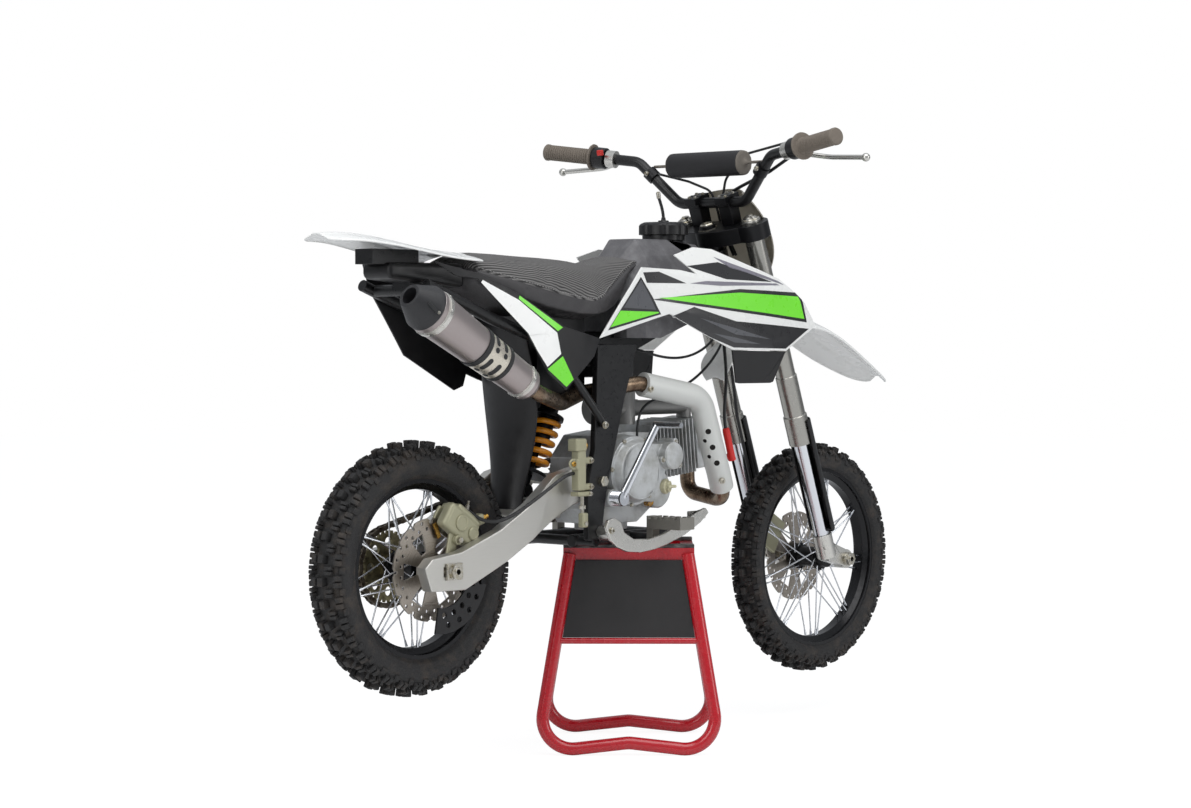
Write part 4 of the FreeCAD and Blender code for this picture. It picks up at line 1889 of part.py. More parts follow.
def stand_parts():
    solids = []
    boards = []
    rail_top = S.stand_height - S.stand_pad_height
    rail_low = rail_top - S.stand_rail_height
    half_long, half_wide = S.stand_top_length / 2, S.stand_top_width / 2
    ring = block(Vector(-half_long, -half_wide, rail_low), Vector(half_long, half_wide, rail_top))
    hole = block(Vector(-half_long + S.stand_rail_width, -half_wide + S.stand_rail_width, 0),
                 Vector(half_long - S.stand_rail_width, half_wide - S.stand_rail_width, S.stand_height))
    solids.append(ring.cut(hole))
    for side in (1, -1):
        loop, lean, half_foot, half_top, reach = stand_loop(side)
        solids.append(loop)
        turn = Placement(SIDE * (side * S.stand_foot_width / 2),
                         Rotation(FORWARD, math.degrees(lean) * side))
        board_top = (rail_low - S.seat_gap) / math.cos(lean)
        board_low = board_top - S.stand_board_height

        def inner_half(height):
            return half_foot + (half_top - half_foot) * height / reach - S.stand_tube_radius * 1.05

        board = plate([Vector(-inner_half(board_low), -S.stand_board_thickness / 2, board_low),
                       Vector(inner_half(board_low), -S.stand_board_thickness / 2, board_low),
                       Vector(inner_half(board_top), -S.stand_board_thickness / 2, board_top),
                       Vector(-inner_half(board_top), -S.stand_board_thickness / 2, board_top)],
                      SIDE * S.stand_board_thickness)
        board.Placement = turn
        thin_z = board_low - S.stand_thin_rail_radius - S.seat_gap
        thin = rod(Vector(-inner_half(thin_z) - S.stand_tube_radius, 0, thin_z),
                   Vector(inner_half(thin_z) + S.stand_tube_radius, 0, thin_z),
                   S.stand_thin_rail_radius)
        thin.Placement = turn
        solids.append(thin)
        boards.append(board)
    metal = fused(solids)
    boards = [board.cut(metal) for board in boards]
    boards = [max(board.Solids, key=lambda solid: solid.Volume) for board in boards]
    pads = [block(Vector(-half_long, side * half_wide - (S.stand_rail_width if side > 0 else 0), rail_top),
                  Vector(half_long, side * half_wide + (S.stand_rail_width if side < 0 else 0),
                         S.stand_height))
            for side in (1, -1)]
    return metal, Part.makeCompound(boards), Part.makeCompound(pads)


stand_place = Placement(STAND, STAND_TURN)
for label, shape in zip(("stand_frame", "stand_boards", "stand_pads"), stand_parts()):
    feature(label, shape, stand_place)

# Check every piece, then write it
doc.recompute()
problems = [item.Name for item in doc.Objects if "Invalid" in item.State or "Error" in item.State]
for label, piece in NODES.items():
    if piece.Shape.isNull() or not piece.Shape.isValid():
        problems.append(label)
    solids = len(piece.Shape.Solids)
    if not solids:
        problems.append(label + " has no solid")
if problems:
    raise RuntimeError("these did not build: %s" % ", ".join(problems))
for label, piece in NODES.items():
    piece.Shape.exportStep("parts/%s.step" % label)
print("%d pieces written" % len(NODES))
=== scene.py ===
"""A small dirt bike on its red paddock stand, dressed for a studio picture."""
import json
import math

import bmesh
import bpy
from mathutils import Matrix, Vector
from mathutils.bvhtree import BVHTree

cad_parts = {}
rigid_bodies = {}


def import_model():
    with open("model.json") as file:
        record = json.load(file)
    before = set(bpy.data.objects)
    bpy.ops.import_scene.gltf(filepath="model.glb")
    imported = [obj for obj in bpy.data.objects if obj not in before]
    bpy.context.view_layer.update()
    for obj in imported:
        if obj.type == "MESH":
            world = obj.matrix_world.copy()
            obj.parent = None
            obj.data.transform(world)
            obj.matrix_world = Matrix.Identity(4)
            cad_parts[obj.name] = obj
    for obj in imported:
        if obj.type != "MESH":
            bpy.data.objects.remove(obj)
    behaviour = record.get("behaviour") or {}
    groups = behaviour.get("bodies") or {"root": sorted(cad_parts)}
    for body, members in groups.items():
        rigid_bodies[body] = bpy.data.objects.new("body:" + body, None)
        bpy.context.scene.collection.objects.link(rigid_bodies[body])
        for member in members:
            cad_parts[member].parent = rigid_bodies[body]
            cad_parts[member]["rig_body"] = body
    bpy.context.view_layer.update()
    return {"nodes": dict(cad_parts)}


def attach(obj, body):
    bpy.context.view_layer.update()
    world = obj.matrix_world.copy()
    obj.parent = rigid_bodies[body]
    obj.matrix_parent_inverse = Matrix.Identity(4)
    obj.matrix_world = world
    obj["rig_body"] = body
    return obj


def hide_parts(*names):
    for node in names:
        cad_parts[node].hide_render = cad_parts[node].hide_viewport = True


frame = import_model()
# Sizes are in millimetres, and Blender works in metres.
MM = 0.001


# Floor, light and camera
# A sheet of white studio paper under the stand, one big soft lamp overhead, weaker ones from
# behind the camera and from the front wheel's side, and a white room that metal can mirror.
def linear(hex_colour):
    """An sRGB hex colour as the linear values that shaders work in."""
    shares = [int(hex_colour[at:at + 2], 16) / 255 for at in (0, 2, 4)]
    return [s / 12.92 if s <= 0.04045 else ((s + 0.055) / 1.055) ** 2.4 for s in shares] + [1.0]


def feed(node, **inputs):
    """Set a shader node's sockets to values, or link them to other nodes' sockets."""
    for name, value in inputs.items():
        socket = node.inputs[int(name[1:])] if name[0] == "_" else node.inputs[name.replace("_", " ")]
        if isinstance(value, bpy.types.NodeSocket):
            node.id_data.links.new(value, socket)
        else:
            socket.default_value = value


def add(material, kind, settings=None, **inputs):
    """Add one shader node, with its settings, its values and the sockets that feed it."""
    made = material.node_tree.nodes.new("ShaderNode" + kind)
    for name, value in (settings or {}).items():
        setattr(made, name, value)
    feed(made, **inputs)
    return made


def placed(name, shape):
    """An object in the scene made of a shape, which is freed."""
    mesh = bpy.data.meshes.new(name)
    shape.to_mesh(mesh)
    shape.free()
    made = bpy.data.objects.new(name, mesh)
    bpy.context.scene.collection.objects.link(made)
    return made


# Matt white paper that the camera sees a little brighter than its light makes it, with its shadow kept.
studio_paper = bpy.data.materials.new("studio_paper")
studio_paper.use_nodes = True
studio_paper.node_tree.nodes.clear()
paper_ray = add(studio_paper, "LightPath")
matt_paper = add(studio_paper, "BsdfDiffuse", Color=linear("f4f4f4"))
lit_paper = add(studio_paper, "Emission", Color=(1, 1, 1, 1), Strength=1.12)
paper_share = add(studio_paper, "Math", {"operation": "MULTIPLY"},
                  _0=paper_ray.outputs["Is Camera Ray"], _1=0.8)
paper_mix = add(studio_paper, "MixShader", _0=paper_share.outputs[0], _1=matt_paper.outputs[0],
                _2=lit_paper.outputs[0])
add(studio_paper, "OutputMaterial", Surface=paper_mix.outputs[0])

floor_shape = bmesh.new()
bmesh.ops.create_grid(floor_shape, x_segments=1, y_segments=1, size=14.0)
studio_floor = placed("studio_floor", floor_shape)
studio_floor.data.materials.append(studio_paper)

# The room is white to the camera and through glass. Its light on the bike is brighter from above.
white_room = bpy.data.worlds.new("white_room")
bpy.context.scene.world = white_room
white_room.use_nodes = True
white_room.node_tree.nodes.clear()
room_ray = add(white_room, "LightPath")
room_seen = add(white_room, "Math", {"operation": "MAXIMUM"}, _0=room_ray.outputs["Is Camera Ray"],
                _1=room_ray.outputs["Is Transmission Ray"])
room_way = add(white_room, "SeparateXYZ", Vector=add(white_room, "TexCoord").outputs["Generated"])
room_light = add(white_room, "MapRange", Value=room_way.outputs[2], From_Min=-0.15, From_Max=0.75,
                 To_Min=0.16, To_Max=0.8)
dim_room = add(white_room, "Background", Color=linear("e8ecf2"), Strength=room_light.outputs[0])
bright_wall = add(white_room, "Background", Color=(1, 1, 1, 1), Strength=1.0)
room_mix = add(white_room, "MixShader", _0=room_seen.outputs[0], _1=dim_room.outputs[0],
               _2=bright_wall.outputs[0])
add(white_room, "OutputWorld", Surface=room_mix.outputs[0])

# Each lamp's place and size in metres, and its power in watts, all aimed at the bike's middle.
for lamp_name, lamp_place, lamp_size, lamp_watts in (
        ("overhead_lamp", (-0.6, -1.2, 3.4), (3.0, 2.4), 52),
        ("behind_lamp", (-3.6, -0.4, 2.0), (1.6, 2.2), 34),
        ("front_lamp", (1.6, -4.0, 1.6), (1.6, 2.0), 30)):
    lamp = bpy.data.lights.new(lamp_name, "AREA")
    lamp.shape = "RECTANGLE"
    lamp.size, lamp.size_y = lamp_size
    lamp.energy = lamp_watts
    holder = bpy.data.objects.new(lamp_name, lamp)
    holder.location = lamp_place
    holder.rotation_euler = (Vector((0, 0, 0.6)) - Vector(lamp_place)).to_track_quat("-Z", "Y").to_euler()
    bpy.context.scene.collection.objects.link(holder)

# The photograph was taken from behind and to the right, a little under the seat's height.
camera_data = bpy.data.cameras.new("photo_camera")
camera_data.lens = 87.4
camera_data.sensor_width = 36.0
camera = bpy.data.objects.new("photo_camera", camera_data)
camera.location = (-4.2857, -3.8323, 0.8267)
camera.rotation_euler = Vector((0.73780, 0.67449, -0.02663)).to_track_quat("-Z", "Y").to_euler()
bpy.context.scene.collection.objects.link(camera)
bpy.context.scene.camera = camera
bpy.context.scene.view_settings.view_transform = "Standard"


# Paddock stand
# Two bent steel tube loops joined by a flat top, sprayed with glossy red enamel. Black boards
# are screwed between the tubes, and strips of rubber on top carry the bike's frame.
def finish(name, colour, metallic=0.0, roughness=0.5, **more):
    """Start a material: one Principled shader, called skin, under its output."""
    material = bpy.data.materials.new(name)
    material.use_nodes = True
    material.node_tree.nodes.clear()
    skin = add(material, "BsdfPrincipled", {"name": "skin"}, Base_Color=linear(colour), Metallic=metallic,
               Roughness=roughness, **more)
    add(material, "OutputMaterial", Surface=skin.outputs[0])
    return material


def place_on(material):
    """The place on the piece, in metres, that a material's patterns follow."""
    for node in material.node_tree.nodes:
        if node.type == "TEX_COORD":
            return node.outputs["Object"]
    return add(material, "TexCoord").outputs["Object"]


def uneven(material, grain, low, high, relief=0.0, stretch=(1, 1, 1)):
    """Let the shine wander between two roughness values over grains of a size in mm, and lift the skin."""
    laid = add(material, "Mapping", Vector=place_on(material), Scale=stretch)
    grains = add(material, "TexNoise", Vector=laid.outputs[0], Scale=1 / (grain * MM), Detail=3.0)
    spread = add(material, "MapRange", Value=grains.outputs[0], From_Min=0.3, From_Max=0.7, To_Min=low,
                 To_Max=high)
    skin = material.node_tree.nodes["skin"]
    feed(skin, Roughness=spread.outputs[0])
    if relief:
        lifted = add(material, "Bump", Height=grains.outputs[0], Distance=relief * MM, Strength=1.0)
        feed(skin, Normal=lifted.outputs[0])


def clouded(material, colour, other, size, low=0.42, high=0.66):
    """Blend a second colour in over soft patches of a size in mm, as dust, heat or wear does."""
    patches = add(material, "TexNoise", Vector=place_on(material), Scale=1 / (size * MM), Detail=5.0,
                  Roughness=0.62)
    share = add(material, "MapRange", Value=patches.outputs[0], From_Min=low, From_Max=high)
    mixed = add(material, "Mix", {"data_type": "RGBA"}, _0=share.outputs[0], _6=linear(colour),
                _7=linear(other))
    feed(material.node_tree.nodes["skin"], Base_Color=mixed.outputs[2])


def paint(node, material):
    """Give a CAD node that keeps its own shape its finish."""
    slots = frame["nodes"][node].material_slots
    for slot in slots:
        slot.material = material


def mounted(shape, name, finishes, body, slot, *nodes, smooth=35):
    """Make a finished piece of a shape, riding on a body, in place of the CAD nodes named."""
    piece = placed(name, shape)
    for material in finishes:
        piece.data.materials.append(material)
    piece.data.shade_smooth()
    piece.data.set_sharp_from_angle(angle=math.radians(smooth))
    piece.modifiers.new("flat_faces", "WEIGHTED_NORMAL").keep_sharp = True
    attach(piece, body)
    if nodes:
        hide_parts(*nodes)
    return piece


WELD = 0.01 * MM


def merged_copy(node):
    """A CAD node's shape with its loose triangles joined into plain faces."""
    shape = bmesh.new()
    shape.from_mesh(frame["nodes"][node].data)
    bmesh.ops.remove_doubles(shape, verts=shape.verts, dist=WELD)
    bmesh.ops.dissolve_limit(shape, angle_limit=math.radians(1), verts=shape.verts, edges=shape.edges)
    return shape


def eased(node, ease, material, sharp=32, segments=2):
    """A CAD node's shape with the small round that its real edges have, ease in mm."""
    cad = frame["nodes"][node]
    shape = merged_copy(node)
    corners = [edge for edge in shape.edges
               if edge.is_manifold and edge.calc_face_angle() > math.radians(sharp)]
    bmesh.ops.bevel(shape, geom=corners, affect="EDGES", offset=ease * MM, segments=segments, profile=0.5,
                    material=-1, clamp_overlap=False)
    mounted(shape, node + "_eased", [material], cad["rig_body"], cad.data.materials[0].name, node)


def laid_in(shape, part):
    """Put one shape's geometry into another and free it."""
    carrier = bpy.data.meshes.new("carrier")
    part.to_mesh(carrier)
    part.free()
    shape.from_mesh(carrier)
    bpy.data.meshes.remove(carrier)


def turned(shape, centre, way, line, segments=24):
    """Add a lathe-turned piece: a line of (reach, height) points in mm, spun about a way from a centre."""
    part = bmesh.new()
    corners = [part.verts.new((reach * MM, 0, height * MM)) for reach, height in line]
    edges = [part.edges.new(pair) for pair in zip(corners, corners[1:])]
    bmesh.ops.spin(part, geom=corners + edges, cent=(0, 0, 0), axis=(0, 0, 1), angle=math.tau,
                   steps=segments, use_merge=True)
    bmesh.ops.remove_doubles(part, verts=part.verts, dist=WELD)
    bmesh.ops.recalc_face_normals(part, faces=part.faces)
    facing = Vector(way).to_track_quat("Z", "Y").to_matrix().to_4x4()
    bmesh.ops.transform(part, matrix=Matrix.Translation(Vector(centre) * MM) @ facing, verts=part.verts)
    laid_in(shape, part)


def block(shape, centre, size, ease, tilt=0.0):
    """Add a cast block with rounded edges, its centre, size and ease in mm, tilted in degrees about Y."""
    part = bmesh.new()
    bmesh.ops.create_cube(part, size=1.0, matrix=Matrix.Diagonal((*(Vector(size) * MM), 1)))
    bmesh.ops.bevel(part, geom=part.edges[:], affect="EDGES", offset=ease * MM, segments=3, profile=0.5,
                    material=-1)
    place = Matrix.Translation(Vector(centre) * MM) @ Matrix.Rotation(math.radians(tilt), 4, "Y")
    bmesh.ops.transform(part, matrix=place, verts=part.verts)
    laid_in(shape, part)


def hose(shape, radius, *points):
    """Add a round hose that follows a smooth line held by points in mm."""
    # A thick hose needs a finer skin to look round.
    thick = radius > 8
    curve = bpy.data.curves.new("hose", "CURVE")
    curve.dimensions = "3D"
    curve.bevel_depth = radius * MM
    curve.bevel_resolution = 12 if thick else 3
    curve.use_fill_caps = True
    line = curve.splines.new("NURBS")
    line.points.add(len(points) - 1)
    for held, point in zip(line.points, points):
        held.co = (*(Vector(point) * MM), 1)
    line.order_u = 4
    line.use_endpoint_u = True
    line.resolution_u = 16 if thick else 8
    carrier = bpy.data.objects.new("hose", curve)
    mesh = carrier.to_mesh()
    shape.from_mesh(mesh)
    carrier.to_mesh_clear()
    bpy.data.objects.remove(carrier)
    bpy.data.curves.remove(curve)


def screwed(name, body, *spots, sides=20):
    """Plated screws on washers, with round or six sided heads: each spot is a centre, a way and a radius."""
    shape = bmesh.new()
    for centre, way, radius in spots:
        # A washer, then the head with its rounded edge, then the socket in a round one.
        turned(shape, centre, way, [(radius * 1.35, -1), (radius * 1.35, 0.8), (radius, 0.8)], 20)
        line = [(radius, 0.8), (radius, radius * 0.85), (radius * 0.85, radius)]
        if sides == 20:
            line += [(radius * 0.58, radius), (radius * 0.5, radius * 0.4)]
        turned(shape, centre, way, line + [(0, line[-1][1])], sides)
    mounted(shape, name, [zinc_plated], body, "bare_aluminium")


# Sprayed enamel: deep gloss with a faint orange peel, and a slightly duller film here and there.
red_enamel = finish("red_enamel", "b50f1e", roughness=0.24, Coat_Weight=0.5, Coat_Roughness=0.06)
uneven(red_enamel, grain=14, low=0.18, high=0.34, relief=0.08)
paint("stand_frame", red_enamel)

# Black faced board: a matt plastic skin that handling has polished in soft patches.
black_board = finish("black_faced_board", "211f1f", roughness=0.5)
uneven(black_board, grain=60, low=0.42, high=0.6, relief=0.2)
eased("stand_boards", 0.8, black_board)

# Grey-black strip rubber, scuffed pale where frames were set down on it.
strip_rubber = finish("strip_rubber", "4a4847", roughness=0.75)
uneven(strip_rubber, grain=3, low=0.65, high=0.9, relief=0.3)
clouded(strip_rubber, "3a3838", "6c6a66", size=30)
eased("stand_pads", 1.5, strip_rubber)


# Frame
# Pressed steel posts, a box top spar and a tube cradle, welded up and powder coated black. The
# thin rear frame under the seat is the same, bolted on.
# Powder coat: an even satin black, a little softer where it flowed thicker.
black_powder_coat = finish("black_powder_coat", "121213", roughness=0.3, Specular_IOR_Level=0.4)
uneven(black_powder_coat, grain=6, low=0.26, high=0.42, relief=0.03)
eased("main_frame", 2.0, black_powder_coat)
eased("subframe", 0.8, black_powder_coat)

# Zinc plated steel for axles, nuts and screws: soft grey shine with yellowish patches.
zinc_plated = finish("zinc_plated_steel", "b9b6ac", metallic=1.0, roughness=0.3)
uneven(zinc_plated, grain=3, low=0.22, high=0.42)
clouded(zinc_plated, "bdbab2", "a49c86", size=8)
# The ways out to the rider's right and left.
RIGHT = (0, -1, 0)
LEFT = (0, 1, 0)
screwed("frame_bolts", "root", ((-210, -131, 640), RIGHT, 5.5), ((-210, 131, 640), LEFT, 5.5))
screwed("pivot_nuts", "root", ((-201.8, -114, 532), RIGHT, 11), ((-201.8, 114, 532), LEFT, 11), sides=6)


# Swingarm, shock and mudflap
# A cast and welded aluminium arm, brushed along its length, a black oil shock with an orange
# coil spring, and a moulded black flap that keeps mud off it.
# Aluminium brushed by hand along the arm: long fine scratches that stretch each glint.
brushed_aluminium = finish("brushed_aluminium", "c3c1bb", metallic=0.9, roughness=0.36)
uneven(brushed_aluminium, grain=1.2, low=0.3, high=0.5, relief=0.05, stretch=(0.04, 1, 1))
eased("swingarm", 2.5, brushed_aluminium)

# Anodised machined aluminium: black that still glints like metal.
black_anodised = finish("black_anodised_aluminium", "18181a", metallic=0.6, roughness=0.35)
uneven(black_anodised, grain=2, low=0.28, high=0.45)
eased("shock", 0.7, black_anodised)

# Powder coated spring wire, brighter where the light rakes over each turn.
orange_spring_coat = finish("orange_spring_coat", "f09a1c", roughness=0.34, Coat_Weight=0.3)
uneven(orange_spring_coat, grain=5, low=0.28, high=0.45, relief=0.1)
clouded(orange_spring_coat, "f09a1c", "b8690c", size=22, low=0.5, high=0.8)
paint("shock_spring", orange_spring_coat)

# Injection moulded polypropylene, black, glossy from the tool with faint flow ripples.
moulded_black = finish("moulded_black_polypropylene", "141314", roughness=0.34, Specular_IOR_Level=0.4)
uneven(moulded_black, grain=26, low=0.3, high=0.46, relief=0.25)
eased("mudflap", 1.0, moulded_black)


# Wheels
# Black anodised alloy rims laced with chromed steel spokes to black cast hubs, turning on steel
# axles. A wavy drilled brake disc of stainless steel is bolted to one side of each hub.
# Polished and anodised rims: deep glossy black with soft highlights.
rim_anodised = finish("gloss_black_anodised_rim", "121214", metallic=0.5, roughness=0.18)
uneven(rim_anodised, grain=9, low=0.14, high=0.28)
eased("rear_rim", 0.6, rim_anodised)
eased("front_rim", 0.6, rim_anodised)

# Sand cast hubs under a satin black coat, faintly pebbled.
cast_hub = finish("black_cast_hub", "151516", metallic=0.35, roughness=0.4)
uneven(cast_hub, grain=3, low=0.3, high=0.55, relief=0.1)
eased("rear_hub", 0.7, cast_hub)
eased("front_hub", 0.7, cast_hub)

# Chromed steel wire: bright, with the dull specks that road salt leaves.
chromed_steel = finish("chromed_steel", "d6d8dc", metallic=1.0, roughness=0.12)
uneven(chromed_steel, grain=16, low=0.08, high=0.2)
for spokes in ("rear_spokes", "front_spokes"):
    paint(spokes, chromed_steel)


def ground_disc(name, centre):
    """Ground stainless steel: fine rings about the axle that catch the light as they turn."""
    material = finish(name, "a49c92", metallic=1.0, roughness=0.34)
    moved = add(material, "Mapping", {"vector_type": "POINT"}, Vector=place_on(material),
                Location=(-centre[0] * MM, 0, -centre[2] * MM), Scale=(1, 0, 1))
    reach = add(material, "VectorMath", {"operation": "LENGTH"}, _0=moved.outputs[0])
    # Real grinding marks are finer: these are 0.9 mm apart so that they show.
    rings = add(material, "TexNoise", {"noise_dimensions": "1D"}, W=reach.outputs["Value"],
                Scale=1 / (0.9 * MM), Detail=2.0)
    spread = add(material, "MapRange", Value=rings.outputs[0], From_Min=0.3, From_Max=0.7, To_Min=0.26,
                 To_Max=0.5)
    feed(material.node_tree.nodes["skin"], Roughness=spread.outputs[0])
    return material


REAR_AXLE = (-595.846, 0.0, 383.0)
FRONT_AXLE = (587.846, 0.0, 335.885)
eased("rear_disc", 0.4, ground_disc("ground_disc_steel_rear", REAR_AXLE))
eased("front_disc", 0.4, ground_disc("ground_disc_steel_front", FRONT_AXLE))
eased("rear_axle", 0.5, zinc_plated)
eased("front_axle", 0.5, zinc_plated)


# Tyres
# Moulded rubber casings with rows of square knobs: paired ones along the middle, split ones
# half a step on beside them, and grooved ones over each shoulder.
def knob(shape, centre, outer, across, drop, tilt, size, step):
    """One knob on the casing: its place across and below the tread's top, its lean and its step round."""
    length, width, height = (side * MM for side in size)
    lean = Matrix.Rotation(-math.radians(tilt), 4, "X")
    stand = Matrix.Translation(Vector((0, across * MM, (outer - drop) * MM)))
    way = Matrix.Translation(Vector(centre) * MM) @ Matrix.Rotation(step, 4, "Y") @ stand @ lean
    made = bmesh.ops.create_cube(shape, size=1.0, matrix=way @ Matrix.Diagonal((length, width, height, 1)))
    edges = list({edge for vert in made["verts"] for edge in vert.link_edges})
    bmesh.ops.bevel(shape, geom=edges, affect="EDGES", offset=1.3 * MM, segments=1, profile=0.5, material=-1)


KNOB_HEIGHT = 14.0


def knobbly_tyre(node, body, centre, outer, half, bead, bead_half, steps):
    """A tyre's spun casing with its knobs in rows: outer and bead radius, half widths, steps of tread."""
    shape = bmesh.new()
    # The casing's line, as (share of its half width, share of the way from bead to crown).
    line = [(bead_half / half, -0.02), (0.80, 0.10), (0.87, 0.16), (0.90, 0.30), (0.935, 0.33), (0.95, 0.52),
            (0.90, 0.70), (0.78, 0.83), (0.58, 0.92), (0.30, 0.98), (0.0, 1.0)]
    line += [(-across, out) for across, out in reversed(line[:-1])]
    wall = outer - KNOB_HEIGHT - bead
    corners = [shape.verts.new(Vector((centre[0], half * across, centre[2] + bead + wall * out)) * MM)
               for across, out in line]
    edges = [shape.edges.new(pair) for pair in zip(corners, corners[1:])]
    bmesh.ops.spin(shape, geom=corners + edges, cent=Vector(centre) * MM, axis=(0, 1, 0), angle=math.tau,
                   steps=144, use_merge=True)
    bmesh.ops.remove_doubles(shape, verts=shape.verts, dist=WELD)
    bmesh.ops.recalc_face_normals(shape, faces=shape.faces)
    knobs = bmesh.new()
    turn = math.tau / steps
    wide = half / 42
    # Each knob of one step: its place across, its drop, its lean, its size and its place round.
    rows = [(8, 9, 4, (15, 12 * wide, 18), 0)]
    for split in (-0.105, 0.105):
        rows.append((20.5, 14, 20, (6.8, 14 * wide, 16), turn * (0.5 + split)))
        rows.append((31.5, 23, 46, (9.4, 15 * wide, 16), turn * split * 1.45))
    rows.append((35.5, 30, 68, (13, 12, 9), turn * 0.5))
    for side in (1, -1):
        for across, drop, tilt, size, place in rows:
            knob(knobs, centre, outer, side * across * wide, drop, side * tilt, size, place)
    bmesh.ops.spin(knobs, geom=knobs.verts[:] + knobs.edges[:] + knobs.faces[:], cent=Vector(centre) * MM,
                   axis=(0, 1, 0), angle=turn * (steps - 1), steps=steps - 1, use_duplicate=True)
    laid_in(shape, knobs)
    mounted(shape, node + "_moulded", [tyre_rubber], body, "tyre_rubber", node, smooth=50)


# Carbon black rubber, dull and faintly brown with dry dust, with mould grain on its walls.
tyre_rubber = finish("tyre_rubber", "201e1d", roughness=0.7)
uneven(tyre_rubber, grain=2.5, low=0.55, high=0.85, relief=0.25)
clouded(tyre_rubber, "1d1c1c", "3b332c", size=24, low=0.48, high=0.74)
knobbly_tyre("rear_tyre", "rear_wheel", REAR_AXLE, outer=236.0, half=42.0, bead=166.0, bead_half=27.0,
             steps=35)
knobbly_tyre("front_tyre", "front_wheel", FRONT_AXLE, outer=244.0, half=34.0, bead=190.0, bead_half=22.0,
             steps=38)


# Chain and rear sprocket
# A bushed roller chain of dull steel, alternate links outside and inside, that runs round a
# drilled sprocket with a worn olive-gold anodised face.
# Rolled steel plates under a film of brown oil.
chain_steel = finish("oiled_chain_steel", "6d655b", metallic=0.9, roughness=0.42)
uneven(chain_steel, grain=3, low=0.3, high=0.6)
clouded(chain_steel, "6f675c", "3f3428", size=14)

# Gold anodising, dulled to olive and worn darker by the chain.
sprocket_anodised = finish("gold_anodised_sprocket", "8a8262", metallic=0.85, roughness=0.36)
uneven(sprocket_anodised, grain=3, low=0.28, high=0.5)
clouded(sprocket_anodised, "8c8465", "5d5540", size=16)
eased("rear_sprocket", 0.4, sprocket_anodised)

# Half inch links run over both sprockets, a chain line's distance to the left.
LINK, REAR_TEETH, FRONT_TEETH = 12.7, 36, 14
PLATE_RADIUS, PLATE_THICKNESS, INNER_PLATE, OUTER_PLATE = 5.0, 1.5, 4.4, 6.3
REAR_PITCH = LINK / 2 / math.sin(math.pi / REAR_TEETH)
FRONT_PITCH = LINK / 2 / math.sin(math.pi / FRONT_TEETH)
CHAIN_LINE = Vector((0, 63.0, 0))
OUTPUT = (-140.846, 0.0, 540.0)
gap = Vector(OUTPUT) - Vector(REAR_AXLE)
climb = math.atan2(gap.z, gap.x)
lean = math.asin((REAR_PITCH - FRONT_PITCH) / gap.length)
run = gap.length * math.cos(lean)
rear_arc = REAR_PITCH * (math.pi + 2 * lean)
front_arc = FRONT_PITCH * (math.pi - 2 * lean)
chain_length = rear_arc + front_arc + 2 * run


def heading(turn):
    """The way at an angle in radians, seen from the bike's side."""
    return Vector((math.cos(turn), 0, math.sin(turn)))


def on_chain(distance):
    """A point on the chain's middle line, from the rear end of the top run round the rear wheel."""
    top = climb + math.pi / 2 - lean
    under = climb - math.pi / 2 + lean
    if distance < rear_arc:
        return Vector(REAR_AXLE) + REAR_PITCH * heading(top + distance / REAR_PITCH)
    if distance < rear_arc + run:
        along = distance - rear_arc
        return Vector(REAR_AXLE) + REAR_PITCH * heading(under) + along * heading(climb + lean)
    if distance < chain_length - run:
        return Vector(OUTPUT) + FRONT_PITCH * heading(under + (distance - rear_arc - run) / FRONT_PITCH)
    along = chain_length - distance
    return Vector(REAR_AXLE) + REAR_PITCH * heading(top) + along * heading(climb - lean)


chain_shape = bmesh.new()
link_count = 2 * round(chain_length / LINK / 2)
joints = [on_chain(chain_length * number / link_count) for number in range(link_count)]
lying = Matrix.Rotation(math.pi / 2, 4, "X")
for number, joint in enumerate(joints):
    after = joints[(number + 1) % link_count]
    middle = (joint + after) / 2
    tilt = Matrix.Rotation(-math.atan2(after.z - joint.z, after.x - joint.x), 4, "Y")
    for side in (1, -1):
        aside = Vector((0, side * (OUTER_PLATE if number % 2 else INNER_PLATE), 0))
        plate = bmesh.ops.create_cone(chain_shape, cap_ends=True, segments=10, radius1=PLATE_RADIUS * MM,
                                      radius2=PLATE_RADIUS * MM, depth=PLATE_THICKNESS * MM, matrix=lying)
        for vert in plate["verts"]:
            vert.co.x += math.copysign(LINK / 2 * MM, vert.co.x)
        plate_place = Matrix.Translation((middle + CHAIN_LINE + aside) * MM) @ tilt
        bmesh.ops.transform(chain_shape, matrix=plate_place, verts=plate["verts"])
    # The roller and the pin through it.
    for radius, width in ((3.9, 8.4), (1.9, 16.5)):
        bmesh.ops.create_cone(chain_shape, cap_ends=True, segments=10, radius1=radius * MM,
                              radius2=radius * MM, depth=width * MM,
                              matrix=Matrix.Translation((joint + CHAIN_LINE) * MM) @ lying)
mounted(chain_shape, "roller_chain", [chain_steel], "root", "chain_steel", "chain")


# Engine
# A small air cooled single: sand cast alloy cases and covers blasted silver-white, a finned
# barrel and head leaning forward, and a cast carburettor behind them.
# Alloy castings blasted with beads: a soft silver white with no clear reflection.
blasted_alloy = finish("bead_blasted_alloy", "bdbfbf", metallic=0.55, roughness=0.46)
uneven(blasted_alloy, grain=2.2, low=0.38, high=0.58, relief=0.1)
clouded(blasted_alloy, "c2c4c4", "a3a39f", size=40)
for engine_part, ease in (("crankcase", 2.0), ("clutch_cover", 2.0), ("cylinder", 0.8),
                          ("cylinder_head", 1.6)):
    eased(engine_part, ease, blasted_alloy)


def round_from(centre, reach, angle):
    """A point in mm at a reach and an angle in degrees round a centre, seen from the bike's side."""
    return Vector(centre) + reach * heading(math.radians(angle))


